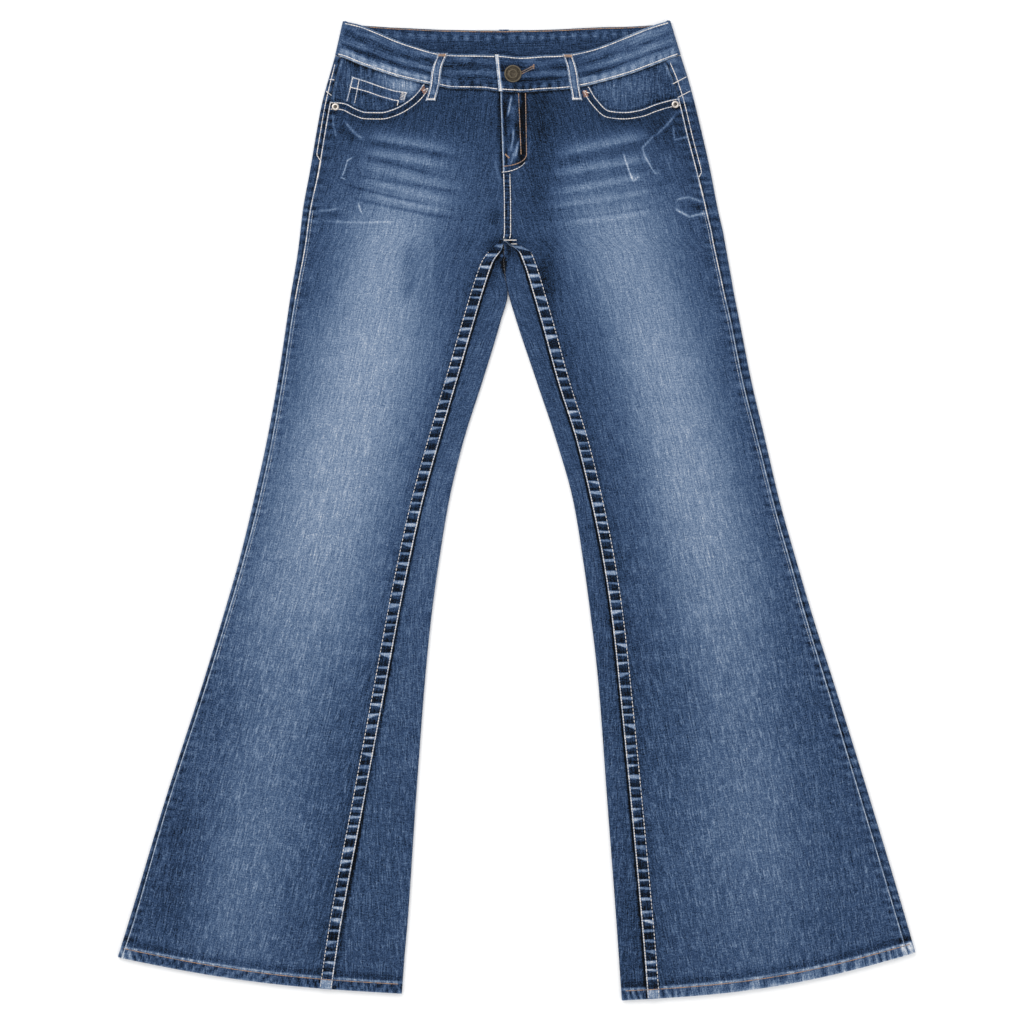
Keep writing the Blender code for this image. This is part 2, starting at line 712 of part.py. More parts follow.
FACING_TOP = 4.3
FACING_RISE = 0.7
FACING_BELOW_MOUTH = 18.0
FACING_STEPS = 9
FACING_ROWS = 6
COIN_CLOTH = 1.0
COIN_TOP = ((-181.0, 477.3), (-165.0, 472.3), (-149.0, 466.4), (-133.0, 461.6), (-119.5, 459.8))
COIN_FOOT_X = (-188.0, -170.0, -153.0, -137.0, -123.5)
COIN_FOOT_RISE = 1.6     # from the pocket mouth up to the foot that shows


def facing_edges(leg, x):
    """Lower and upper edge of the facing at x."""
    top = band["front_seam"](x) - BAND_GAP
    return min(leg.mouth(x), top) - FACING_BELOW_MOUTH, top


def facing_height(leg, x, y):
    low, top = facing_edges(leg, x)
    rise = FACING_RISE * ease(((leg.mouth_end - x) * leg.inward - 5.0) / 25.0)
    return FACING_TOP + rise * (y - low) / (top - low)


def make_facing(leg):
    inner_end = leg.mouth_end + leg.inward * 12.0
    rows = []
    for r in range(FACING_ROWS):
        row = []
        for c in range(FACING_STEPS + 1):
            y = 470.0
            for _ in range(8):
                x = mix(leg.front_outseam(y) + leg.inward * 0.3, inner_end, c / FACING_STEPS)
                y = mix(*facing_edges(leg, x), r / (FACING_ROWS - 1))
            row.append((x, y, facing_height(leg, x, y)))
        rows.append(row)
    sheet("pocket_facing_" + leg.side, rows, DENIM, DENIM_COLOUR)


def make_coin_pocket():
    """Patch on the right facing; the pocket mouth hides its lower end."""
    rows = []
    for v in (0.0, 0.5, 1.0):
        row = []
        for (x_top, y_top), x_low in zip(COIN_TOP, COIN_FOOT_X):
            x = mix(x_top, x_low, v)
            y = mix(y_top, RIGHT.mouth(x) + COIN_FOOT_RISE, v)
            row.append((x, y, facing_height(RIGHT, x, y) + SEAM_GAP + COIN_CLOTH))
        rows.append(row)
    sheet("coin_pocket", rows, COIN_CLOTH, DENIM_COLOUR)


# ---- Loops, back pockets and zip ------------------------------------------------------------

# The middle of each front loop's outer face, from its top end to its foot: x, y and z.
FRONT_LOOPS = {
    "belt_loop_front_right": ((-80.9, 502.5, 8.3), (-87.5, 484.6, 8.3), (-89.7, 468.0, 8.3),
                              (-92.0, 459.0, 8.1), (-94.6, 450.0, 7.8)),
    "belt_loop_front_left": ((55.6, 501.5, 8.3), (61.0, 484.6, 8.3), (63.8, 466.0, 8.3),
                             (65.4, 458.0, 8.1), (66.6, 450.6, 7.8)),
}


def make_loops():
    for name, route in FRONT_LOOPS.items():
        rows = [[(x + side * LOOP_WIDTH / 2, y, z) for side in (-1, 1)] for x, y, z in route]
        sheet(name, rows, LOOP_CLOTH, DENIM_COLOUR)
    for name, x in BACK_LOOPS.items():
        rows = [[(x + side * LOOP_WIDTH / 2, y, LOOP_CLOTH) for side in (-1, 1)]
                for y in (BACK_LOOP_TOP, BACK_LOOP_END)]
        sheet(name, rows, LOOP_CLOTH, DENIM_COLOUR)


def make_back_pockets():
    """Plain five-sided patches, below the back cloth because the jeans lie on their back."""
    for name, size in BACK_POCKETS.items():
        side_foot = size["top"] - size["drop"]
        row_ends = ((size["top"], size["top_half"]), (side_foot, size["low_half"]))
        rows = []
        for y, half in row_ends:
            rows.append([(size["x"] + half * k, y, DENIM) for k in (-1, 0, 1)])
        x, y, z = rows[1][1]
        rows[1][1] = (x, y - size["point"], z)
        sheet(name, rows, DENIM, DENIM_COLOUR)


ZIP_X = -2.0
ZIP_ROWS = (452.0, 415.0, 380.0)
ZIP_STOPS = ((-13.0, 0.8), (-3.0, 1.4), (3.0, 1.4), (13.0, 0.8))   # off centre, and thickness


def make_zip():
    """Closed fly zip, a tape with its chain along the middle, under the fly."""
    rows, under = [], []
    for y in ZIP_ROWS:
        top = pile(y) - DENIM - SEAM_GAP
        rows.append([(ZIP_X + stop, y, top) for stop, depth in ZIP_STOPS])
        under.append([(ZIP_X + stop, y, top - depth) for stop, depth in ZIP_STOPS])
    wall("fly_zip", rows, under, DARK_COLOUR)


# ---- Button and rivets ----------------------------------------------------------------------

# Profiles of radius and height: the button's above the underside of its rim, with a post that
# starts lower, and the rivet's above its foot.
BUTTON_POST = 2.4
BUTTON_RIM = ((9.0, 0.0), (9.5, 0.6), (9.5, 1.6), (8.8, 2.3), (7.4, 2.5), (6.8, 2.0), (4.4, 1.9),
              (3.8, 2.4), (0.0, 2.7))
RIVET_RISE = ((0.0, 0.0), (4.0, 0.0), (4.0, 0.5), (3.4, 1.0), (2.2, 1.1), (1.8, 0.8), (0.0, 0.8))
RIVETS = {"rivet_right": (-199.0, 443.3), "rivet_left": (174.4, 446.0)}
BUTTON_SIDES = 20
RIVET_SIDES = 14
METAL_ROUGHNESS = 0.4


def turned(name, profile, centre, colour, sides):
    """Turn a profile of (radius, z) round an upright axis."""
    builder = bmesh.new()
    spine = []
    for radius, z in profile:
        if radius == 0.0:
            spine.append([builder.verts.new((centre[0] * MM, centre[1] * MM, z * MM))])
            continue
        ring = []
        for k in range(sides):
            turn = 2 * math.pi * k / sides
            x = centre[0] + radius * math.cos(turn)
            y = centre[1] + radius * math.sin(turn)
            ring.append(builder.verts.new((x * MM, y * MM, z * MM)))
        spine.append(ring)
    for low, high in zip(spine, spine[1:]):
        for k in range(sides):
            corners = [low[k % len(low)], low[(k + 1) % len(low)],
                       high[(k + 1) % len(high)], high[k % len(high)]]
            builder.faces.new(list(dict.fromkeys(corners)))
    finish(name, builder, colour, METAL_ROUGHNESS, 1.0)


def make_button():
    """Shank button: its post stands on the underlap and passes through the buttonhole."""
    foot = BAND_PILE + SEAM_GAP
    rim = foot + OVERLAP_RISE
    y = mix(band["front_top"](BUTTON_X), band["front_seam"](BUTTON_X), 0.5)
    profile = [(0.0, foot), (BUTTON_POST, foot), (BUTTON_POST, rim)]
    profile += [(radius, rim + rise) for radius, rise in BUTTON_RIM]
    turned("button", profile, (BUTTON_X, y), BRASS_COLOUR, BUTTON_SIDES)


def make_rivets():
    foot = HIP_PILE + MOUTH_RELIEF + SEAM_GAP
    profile = [(radius, foot + rise) for radius, rise in RIVET_RISE]
    for name, centre in RIVETS.items():
        turned(name, profile, centre, NICKEL_COLOUR, RIVET_SIDES)


start_scene()
for one_leg in LEGS:
    make_front_panel(one_leg)
    make_back(one_leg)
    make_inseam(one_leg)
    make_facing(one_leg)
make_front_rise()
make_waistband()
make_coin_pocket()
make_loops()
make_back_pockets()
make_zip()
make_button()
make_rivets()
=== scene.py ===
# Bootcut jeans in washed indigo denim, laid flat on their back and built as they are sewn:
# fronts, pockets, backs, yokes, seams, waistband, loops, hardware. +X is the wearer's left and
# +Y the waist. Sizes are in millimetres unless a comment says otherwise; MM makes them metres.
import math

import bmesh
import bpy
import numpy as np
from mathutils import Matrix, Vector


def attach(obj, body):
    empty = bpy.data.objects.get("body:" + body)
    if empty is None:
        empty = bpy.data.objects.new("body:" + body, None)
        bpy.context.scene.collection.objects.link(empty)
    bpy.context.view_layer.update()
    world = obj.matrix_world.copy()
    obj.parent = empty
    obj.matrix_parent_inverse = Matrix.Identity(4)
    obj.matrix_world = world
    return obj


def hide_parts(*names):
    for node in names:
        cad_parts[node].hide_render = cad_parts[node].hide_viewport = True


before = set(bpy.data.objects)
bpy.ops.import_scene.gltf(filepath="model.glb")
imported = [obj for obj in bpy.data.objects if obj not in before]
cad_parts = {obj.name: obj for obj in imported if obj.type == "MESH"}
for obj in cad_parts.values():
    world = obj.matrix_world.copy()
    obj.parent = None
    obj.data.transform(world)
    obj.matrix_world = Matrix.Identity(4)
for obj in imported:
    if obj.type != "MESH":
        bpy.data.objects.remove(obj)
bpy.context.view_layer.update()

MM = 0.001


# ---- Studio ----------------------------------------------------------------------------------
# A plain white floor under broad soft light, as in a catalogue studio. The camera hangs straight
# above the jeans on a long lens, and its frame spans 1.13 m, as the photograph's does.

FRAME_WIDTH = 1.1264             # this section is in metres
FRAME_CENTRE = (-0.0050, -0.0017)
CAMERA_HEIGHT = 5.0
SENSOR_WIDTH = 36.0
FLOOR_SIZE = 12.0
FLOOR_BELOW = 0.0003             # so that it doesn't flicker through the underside
LIGHTS = (("key_light", (-1.3, 1.5, 2.4), 2.4, 42.0), ("fill_light", (1.6, -1.2, 2.6), 2.8, 14.0))
WORLD_STRENGTH = 0.85


def linear(hex_colour):
    """An sRGB hex colour as linear RGBA."""
    parts = [int(hex_colour[k:k + 2], 16) / 255.0 for k in (1, 3, 5)]
    return [p / 12.92 if p <= 0.04045 else ((p + 0.055) / 1.055) ** 2.4 for p in parts] + [1.0]


def set_inputs(node, inputs):
    """Link each input to a socket, or to a node's first socket, or else set its value."""
    for key, value in inputs.items():
        if isinstance(value, bpy.types.Node):
            value = value.outputs[0]
        if isinstance(value, bpy.types.NodeSocket):
            node.id_data.links.new(value, node.inputs[key])
        else:
            node.inputs[key].default_value = value


def add_node(tree, kind, inputs, stops=(), **settings):
    """Add a shader node; stops are the places and colours of a colour ramp."""
    made = tree.nodes.new("ShaderNode" + kind)
    for name, value in settings.items():
        setattr(made, name, value)
    set_inputs(made, inputs)
    for k, (place, colour) in enumerate(stops):
        if k == len(made.color_ramp.elements):
            made.color_ramp.elements.new(place)
        made.color_ramp.elements[k].position = place
        made.color_ramp.elements[k].color = linear(colour)
    return made


def new_material(name, constants):
    """A material whose Principled shader has these constant inputs."""
    material = bpy.data.materials.new(name)
    material.use_nodes = True
    shader = material.node_tree.nodes["Principled BSDF"]
    set_inputs(shader, constants)
    return material, material.node_tree, shader


def deselect():
    for item in bpy.context.selected_objects:
        item.select_set(False)


deselect()
bpy.ops.mesh.primitive_plane_add(size=FLOOR_SIZE, location=(0.0, 0.0, -FLOOR_BELOW))
floor = bpy.context.object
floor.name = "floor"
floor_constants = {"Roughness": 0.95, "Base Color": linear("#fdfdfd")}
floor.data.materials.append(new_material("matt_white_board", floor_constants)[0])

for light_name, place, light_size, power in LIGHTS:
    bpy.ops.object.light_add(type="AREA", location=place)
    light = bpy.context.object
    light.name = light_name
    light.data.size = light_size
    light.data.energy = power
    light.rotation_euler = (-Vector(place)).to_track_quat("-Z", "Y").to_euler()

world = bpy.data.worlds.new("studio")
world.use_nodes = True
set_inputs(world.node_tree.nodes["Background"],
           {"Color": (1.0, 1.0, 1.0, 1.0), "Strength": WORLD_STRENGTH})
bpy.context.scene.world = world
bpy.context.scene.view_settings.view_transform = "Standard"

bpy.ops.object.camera_add(location=(*FRAME_CENTRE, CAMERA_HEIGHT))
camera = bpy.context.object
camera.data.sensor_width = SENSOR_WIDTH
camera.data.lens = SENSOR_WIDTH * CAMERA_HEIGHT / FRAME_WIDTH
bpy.context.scene.camera = camera


# ---- Front panels ----------------------------------------------------------------------------
# The two fronts, cut from mid-weight indigo twill. Their pocket mouths are turned under, the
# left one carries the fly, and the wash has paled the thighs and the creases across the hips.

DENIM = 1.2
SEAM_GAP = 0.3
BAND_GAP = 0.7
CROTCH_Y = 284.0
HIP_END_Y = 304.0
CROTCH_FOLD_Y = 295.0
HEM_DEPTH = 11.5
HEM_PALER = {"right": -0.08, "left": 0.18}
HEM_CORNER = 17.0

# The outer fold, how far the outseam lies inside it, the centre of the inseam (above the
# crotch, the centre front) and the inner fold, at each height.
LEG_COLUMNS = ("y", "edge", "outseam", "inseam", "inner")
RIGHT_LEG_ROWS = (
    (540, -190.5, 7.0, -18.0, -14.0),
    (500, -199.5, 6.6, -18.0, -14.0),
    (447, -214.0, 8.2, -17.5, -14.0),
    (418, -219.5, 8.5, -16.5, -14.0),
    (374, -227.0, 8.7, -15.0, -14.0),
    (330, -235.0, 7.3, -14.0, -14.0),
    (304, -238.0, 6.6, -14.0, -14.0),
    (298, -238.7, 6.5, -15.5, -14.0),
    (284, -240.5, 6.1, -24.8, -14.0),
    (275, -241.8, 5.8, -31.4, -14.0),
    (259, -244.5, 5.3, -37.6, -12.9),
    (239, -248.0, 5.0, -44.1, -9.6),
    (209, -252.5, 4.5, -53.0, -17.0),
    (143, -262.5, 4.5, -72.2, -37.0),
    (77, -274.5, 4.8, -91.4, -58.0),
    (11, -289.0, 5.1, -109.5, -74.0),
    (-55, -305.0, 4.0, -124.2, -85.0),
    (-121, -324.0, 3.7, -137.3, -94.0),
    (-187, -344.0, 3.5, -149.5, -100.5),
    (-319, -386.5, 3.5, -174.1, -110.5),
    (-451, -426.0, 4.6, -198.8, -119.5),
    (-491, -438.5, 4.0, -205.0, -123.0),
    (-531, -451.0, 4.0, -210.7, -126.0),
)
LEFT_LEG_ROWS = (
    (540, 168.5, 20.0, -18.0, -14.0),
    (500, 180.5, 19.0, -18.0, -14.0),
    (473, 189.0, 16.5, -18.0, -14.0),
    (447, 196.0, 15.5, -17.5, -14.0),
    (418, 203.0, 15.6, -16.5, -14.0),
    (374, 213.0, 14.2, -15.0, -14.0),
    (330, 221.5, 12.0, -14.0, -14.0),
    (304, 227.5, 12.0, -14.0, -14.0),
    (298, 228.5, 12.0, -11.0, -14.0),
    (284, 231.0, 11.6, 9.4, -14.0),
    (275, 232.6, 11.3, 13.4, -13.8),
    (259, 235.5, 10.7, 19.0, -12.7),
    (239, 239.0, 10.0, 24.8, -9.2),
    (209, 245.0, 9.0, 33.6, -0.5),
    (143, 258.0, 8.7, 51.7, 21.5),
    (77, 273.5, 7.6, 72.5, 43.5),
    (11, 289.0, 6.4, 88.6, 62.0),
    (-55, 307.5, 6.3, 101.8, 73.0),
    (-121, 327.0, 7.1, 111.7, 82.0),
    (-187, 348.0, 7.8, 118.9, 89.5),
    (-319, 389.0, 9.1, 131.9, 99.5),
    (-451, 428.5, 9.0, 144.0, 109.5),
    (-486, 438.5, 8.7, 147.0, 112.0),
    (-538.5, 454.0, 8.7, 151.0, 115.5),
)
BAND_COLUMNS = ("x", "front_top", "front_seam", "back_top", "back_seam")
BAND_ROWS = (
    (-199.5, 538.5, 500.0, 538.5, 500.0),
    (-191, 537.4, 498.0, 537.4, 498.5),
    (-174, 534.0, 491.0, 533.5, 496.0),
    (-153, 526.0, 483.5, 532.0, 494.0),
    (-131, 516.5, 476.5, 530.5, 492.5),
    (-115, 511.0, 472.5, 529.8, 491.5),
    (-86, 503.0, 466.5, 528.5, 490.5),
    (-69, 501.5, 463.5, 528.2, 490.2),
    (-38, 501.0, 463.0, 527.7, 489.8),
    (-18, 500.5, 460.5, 527.5, 489.5),
    (5, 498.5, 459.5, 527.8, 489.6),
    (28, 500.0, 461.0, 528.3, 490.0),
    (55, 501.5, 463.0, 529.3, 490.8),
    (74, 505.0, 466.2, 530.2, 491.8),
    (92, 510.0, 470.6, 531.0, 493.0),
    (121, 521.5, 478.5, 531.8, 495.0),
    (150, 533.0, 489.0, 533.5, 497.5),
    (169, 538.5, 496.5, 538.5, 499.8),
    (180.5, 541.0, 500.5, 541.0, 500.5),
)
MOUTH_COLUMNS = ("x", "y")
RIGHT_MOUTH_ROWS = (
    (-209, 449.2), (-196, 449.0), (-187, 447.5), (-178, 442.8), (-165, 438.4), (-149, 438.2),
    (-135, 441.8), (-119, 450.8), (-107, 462.8), (-101, 475.0), (-96, 495.0),
)
LEFT_MOUTH_ROWS = (
    (184, 454.0), (170, 451.8), (151, 446.4), (136, 440.8), (118, 438.3), (102, 439.8),
    (90, 450.5), (81, 464.8), (77, 480.0), (74, 500.0),
)

# How far the wash has paled the cloth at each height: all over, and by how much more along the
# middle of the thigh. Wear runs from 0, raw indigo, to 1, the palest blue, and white past that.
WASH_COLUMNS = ("y", "base", "centre", "half", "fade")
RIGHT_WASH_ROWS = (
    (540, 0.18, -115, 62, 0.00), (430, 0.08, -118, 62, 0.00), (400, 0.13, -120, 62, 0.18),
    (370, 0.17, -121, 62, 0.31), (350, 0.19, -124, 62, 0.38), (325, 0.22, -133, 55, 0.52),
    (300, 0.22, -140, 51, 0.60), (240, 0.23, -151, 56, 0.62), (177, 0.25, -163, 67, 0.63),
    (44, 0.28, -196, 68, 0.60), (-98, 0.31, -232, 70, 0.43), (-208, 0.29, -256, 56, 0.28),
    (-264, 0.28, -270, 49, 0.26), (-373, 0.25, -292, 54, 0.28), (-430, 0.24, -302, 50, 0.28),
    (-500, 0.25, -310, 48, 0.16),
)
LEFT_WASH_ROWS = (
    (540, 0.18, 110, 62, 0.00), (430, 0.08, 105, 62, 0.00), (400, 0.12, 106, 64, 0.13),
    (370, 0.15, 107, 64, 0.26), (350, 0.17, 109, 64, 0.35), (325, 0.19, 110, 62, 0.50),
    (300, 0.20, 114, 60, 0.55), (240, 0.21, 134, 57, 0.58), (177, 0.21, 154, 55, 0.61),
    (44, 0.23, 189, 55, 0.60), (-98, 0.26, 221, 58, 0.44), (-208, 0.25, 240, 54, 0.30),
    (-373, 0.28, 256, 62, 0.24), (-500, 0.26, 270, 56, 0.10),
)

# Creases, each a soft ridge from one end to the other, which hangs by sag in its middle: whiskers
# across the hip, the dark hollows between them, dark partly from unworn dye and partly from painted
# shade, thin sharp creases and a few soft painted shadows of folds. The last column is how much
# paler the crest is; where it is negative, the crest is painted darker.
CREASE_COLUMNS = ("x0", "y0", "x1", "y1", "sag", "width", "height", "wear_and_shade")
THIN_CREASE = 2.0                # wider ones are whiskers, which end sharply on their lower side
RIGHT_CREASES = (
    (-174, 412, -54, 390.5, -2.0, 6.5, 0.40, 0.34),
    (-172, 405, -60, 386, 0.0, 2.6, -0.30, -0.16),
    (-176, 396, -64, 376, 0.0, 6.0, 0.40, 0.30),
    (-176, 390, -60, 362, 0.0, 2.2, -0.30, -0.24),
    (-182, 381.5, -50, 350, 0.0, 6.5, 0.35, 0.20),
    (-186, 369, -50, 347, 0.0, 2.1, -0.35, -0.20),
    (-180, 365.5, -50, 333, 0.0, 5.0, 0.30, 0.20),
    (-196, 360, -80, 333, 1.4, 1.9, -0.35, -0.30),
    (-172, 350, -56, 325, 1.4, 5.5, 0.30, 0.16),
    (-190, 345.5, -54, 318, 1.7, 1.9, -0.35, -0.28),
    (-222, 319, -120, 318, 2.0, 1.3, 0.20, 0.30),
    (-215, 328, -188, 322, 0.0, 3.5, -0.20, -0.16),
    (-118, 300, -123, 222, 2.0, 9.0, -0.30, -0.22),
    (-352, -300, -392, -480, 0.0, 22.0, 0.00, -0.12),
    (-92, 306, -98, 230, 2.0, 1.9, 0.30, 0.16),
    (-191, 431, -164, 405, 2.5, 1.6, 0.35, 0.50),
    (-196, 424, -176, 404, 0.0, 5.0, -0.20, -0.15),
    (-202, 436, -201.5, 423, 0.0, 1.1, 0.30, 0.45),
    (-202, 427, -197.5, 408, 0.0, 1.1, 0.30, 0.45),
    (-179.5, 388.6, -187.5, 382.8, 0.0, 0.8, 0.35, 0.75),
    (-185.5, 386.5, -193.3, 363.5, 0.8, 0.8, 0.35, 0.75),
    (-194, 366.2, -186.5, 363.4, 0.0, 0.8, 0.30, 0.60),
    (-174.2, 339.5, -168.4, 324, 0.8, 0.9, 0.30, 0.65),
    (-222, 330, -190, 333, 1.5, 1.2, 0.25, 0.45),
    (-26, 389, -17.5, 357, 0.0, 2.5, 0.20, 0.28),
    (-19, 333, -29, 311, 0.0, 5.0, -0.20, -0.25),
)
LEFT_CREASES = (
    (154, 413.5, 32, 387.5, -1.0, 7.5, 0.40, 0.42),
    (142, 398, 28, 375, -0.8, 2.4, -0.30, -0.10),
    (156, 388, 24, 367, 0.0, 6.0, 0.40, 0.32),
    (172, 381, 29, 354, 1.2, 2.4, -0.30, -0.12),
    (154, 370, 24, 345.6, 0.5, 6.0, 0.35, 0.28),
    (192, 368, 43, 337, 2.4, 2.2, -0.30, -0.14),
    (163, 354.5, 14, 332, 2.0, 6.0, 0.30, 0.24),
    (179, 339.5, 18, 319, 4.0, 2.0, -0.30, -0.14),
    (162, 331, 33, 315, 3.0, 6.0, 0.30, 0.16),
    (177, 438.5, 149, 409.5, 1.8, 1.4, 0.35, 0.55),
    (153, 414, 136.5, 396.5, 0.0, 1.2, 0.35, 0.50),
    (138, 402, 144.6, 381, 0.8, 1.0, 0.35, 0.60),
    (142.5, 388, 154, 368.3, 0.8, 0.9, 0.35, 0.70),
    (150.5, 370.2, 158, 371.5, 0.0, 0.8, 0.30, 0.45),
    (117, 395.5, 123.2, 375, 0.6, 0.8, 0.30, 0.60),
    (121, 382, 129.3, 359.6, 0.6, 0.9, 0.35, 0.85),
    (127.5, 360.3, 135.5, 368, 0.0, 0.8, 0.30, 0.50),
    (171.8, 424, 173.6, 403.5, 0.0, 1.2, 0.30, 0.50),
    (171.5, 406.5, 190, 411, 0.0, 1.2, 0.25, 0.40),
    (173.5, 341, 191.5, 345, 0.0, 1.3, 0.30, 0.55),
    (186.5, 345.2, 207, 338.2, 0.0, 1.3, 0.30, 0.50),
    (172, 332.5, 192.5, 321.4, 0.0, 1.3, 0.30, 0.75),
    (187, 322, 211, 328, 0.0, 1.3, 0.30, 0.70),
    (166, 397, 168, 370, 0.0, 3.0, 0.10, 0.15),
    (16, 408, 11, 384, 0.0, 2.0, 0.10, 0.22),
    (28.5, 429, 27, 408, 0.0, 3.0, -0.20, -0.14),
    (146, 434, 180, 398, 0.0, 16.0, 0.00, -0.12),
    (187, 337, 205, 331, 0.0, 3.5, -0.20, -0.18),
    (-5, 458, -10.2, 430, 0.0, 1.2, 0.30, 0.95),
    (-3.5, 422, -6.8, 393, 1.0, 1.2, 0.30, 0.80),
    (2.4, 408, -2.4, 383, 0.0, 1.2, 0.30, 0.70),
    (-2.5, 395, -6.4, 379, 0.0, 1.2, 0.30, 0.60),
)


def ease(t):
    """0 below 0, 1 above 1, and a soft step between."""
    t = np.clip(t, 0.0, 1.0)
    return t * t * (3.0 - 2.0 * t)


def mix(a, b, t):
    return a + (b - a) * t


def peak(t, width):
    """1 at 0, falling away on both sides within about the width."""
    return np.exp(-(t / width) ** 2)


def smooth_curve(x, y):
    """A smooth curve through these points, which never swings past them."""
    rise = np.diff(y) / np.diff(x)
    p, q = rise[:-1], rise[1:]
    inner = np.divide(2 * p * q, p + q, out=np.zeros(len(p)), where=p * q > 0)
    slope = np.concatenate((rise[:1], inner, rise[-1:]))

    def at(t):
        t = np.asarray(t, float)
        k = np.clip(np.searchsorted(x, t, side="right") - 1, 0, len(x) - 2)
        span = x[k + 1] - x[k]
        u = (t - x[k]) / span
        inside = (y[k] * (1 + 2 * u) * (1 - u) ** 2 + y[k + 1] * u * u * (3 - 2 * u)
                  + span * slope[k] * u * (1 - u) ** 2 - span * slope[k + 1] * u * u * (1 - u))
        past = np.where(t < x[0], y[0] + slope[0] * (t - x[0]), y[-1] + slope[-1] * (t - x[-1]))
        return np.where((t < x[0]) | (t > x[-1]), past, inside)
    return at


def smooth_curves(columns, rows):
    """A curve for each further column of a table, over its first one."""
    x, *lines = np.array(sorted(rows), float).T
    return {name: smooth_curve(x, line) for name, line in zip(columns[1:], lines)}


def wander(t, seed):
    """Smooth random values from -1 to 1, a new one at each whole step of t."""
    values = np.random.default_rng(seed).uniform(-1.0, 1.0, 997)
    k = np.floor(np.nan_to_num(t)).astype(int)
    return mix(values[k % 997], values[(k + 1) % 997], ease(t - k))


def mottle(x, y, size, seed):
    """The same over a surface, with patches of about that size."""
    values = np.random.default_rng(seed).uniform(-1.0, 1.0, (97, 97))
    i = np.floor(np.nan_to_num(x) / size).astype(int)
    j = np.floor(np.nan_to_num(y) / size).astype(int)
    u, v = ease(x / size - i), ease(y / size - j)
    low = mix(values[i % 97, j % 97], values[(i + 1) % 97, j % 97], u)
    high = mix(values[i % 97, (j + 1) % 97], values[(i + 1) % 97, (j + 1) % 97], u)
    return mix(low, high, v)


def ridges(rows, off, puckers=0.0):
    """Height and wear of ridges along a seam or an edge, at this distance off from it."""
    form = np.zeros((2, *np.shape(off)))
    for row in rows:
        ridge = dict(zip(RIDGE_COLUMNS, row + (0.0, 0.0)))
        crest = peak(off - ridge["at"], ridge["width"])
        form[0] += (ridge["height"] + ridge["height_puckered"] * puckers) * crest
        form[1] += (ridge["wear_and_shade"] + ridge["wear_puckered"] * puckers) * crest
    return form


def patches(rows, x, y):
    """Wear and painted shade of soft patches."""
    rows = [dict(zip(PATCH_COLUMNS, row)) for row in rows]
    return sum(p["wear_and_shade"] * peak(x - p["x"], p["half_x"]) * peak(y - p["y"], p["half_y"])
               for p in rows)


def pucker(along, pitch, seed):
    """Uneven puckers along a seam, 1 on a crest and -1 in a hollow."""
    drift = 0.45 * wander(along / (2.3 * pitch), seed)
    strength = 0.65 + 0.35 * wander(along / (1.6 * pitch), seed + 1)
    return np.sin(2 * np.pi * (along / pitch + drift)) * strength


class Leg:
    """One leg and its half of the hip. inward is the way from its outer to its inner fold."""

    def __init__(self, side, inward, rows, hem, mouth_rows, mouth_end, wash_rows, creases):
        self.side = side
        self.inward = inward
        self.hem_outer, self.hem_inner, self.hem_bow = hem
        self.edge, self.outseam, self.inseam, self.inner = smooth_curves(
            LEG_COLUMNS, rows).values()
        self.mouth = smooth_curves(MOUTH_COLUMNS, mouth_rows)["y"]
        self.mouth_end = mouth_end
        self.wash = smooth_curves(WASH_COLUMNS, wash_rows)
        self.creases = [dict(zip(CREASE_COLUMNS, row)) for row in creases]
        self.seed = 100 if inward > 0 else 200

    def width(self, y):
        return (self.inner(y) - self.edge(y)) * self.inward - SEAM_GAP / 2

    def across(self, x, y):
        return (x - self.edge(y)) * self.inward / self.width(y)

    def hem_y(self, across):
        """Lower edge of the hem, across from the outer fold (0) to the inner fold (1)."""
        chord = mix(self.hem_outer, self.hem_inner, across)
        return chord - self.hem_bow * np.sin(np.pi * np.clip(across, 0.0, 1.0))

    def x(self, from_edge, y):
        return self.edge(y) + self.inward * from_edge

    def front_outseam(self, y):
        return self.edge(y) + self.inward * (self.outseam(y) + SEAM_GAP)

    def row_y(self, level, line):
        """Where a row crosses x = line(y); level is 0 at the crotch and 1 at the hem's edge."""
        y = mix(CROTCH_Y, self.hem_y(0.5), level)
        for _ in range(6):
            y = mix(CROTCH_Y, self.hem_y(self.across(line(y), y)), level)
        return y


band = smooth_curves(BAND_COLUMNS, BAND_ROWS)
RIGHT = Leg("right", 1.0, RIGHT_LEG_ROWS, (-491.0, -531.0, 7.0), RIGHT_MOUTH_ROWS, -101.0,
            RIGHT_WASH_ROWS, RIGHT_CREASES)
LEFT = Leg("left", -1.0, LEFT_LEG_ROWS, (-486.0, -538.5, 11.0), LEFT_MOUTH_ROWS, 78.0,
           LEFT_WASH_ROWS, LEFT_CREASES)
LEGS = (RIGHT, LEFT)

LEG_LENGTH = 795.0
OUTSEAM_PITCH = 10.6             # of the puckers along each seam
INSEAM_PITCH = 11.2
BAND_SEAM_PITCH = 13.0
ROPING_PITCH = 7.6
INSEAM_HALF = 6.75
INSEAM_CLOTH = 1.0
MOUTH_RELIEF = 0.6
MOUTH_BAND = 8.6
FLY_RELIEF = 0.9
FLY_SIDE_X = 12.5
FLY_TURN_Y = 391.0
FLY_FOOT_Y = 371.5
FLY_EDGE_X = -18.0
# Middle of the dark opening painted as shade at the crotch.
CROTCH_LOOP = (-16.0, 287.5)
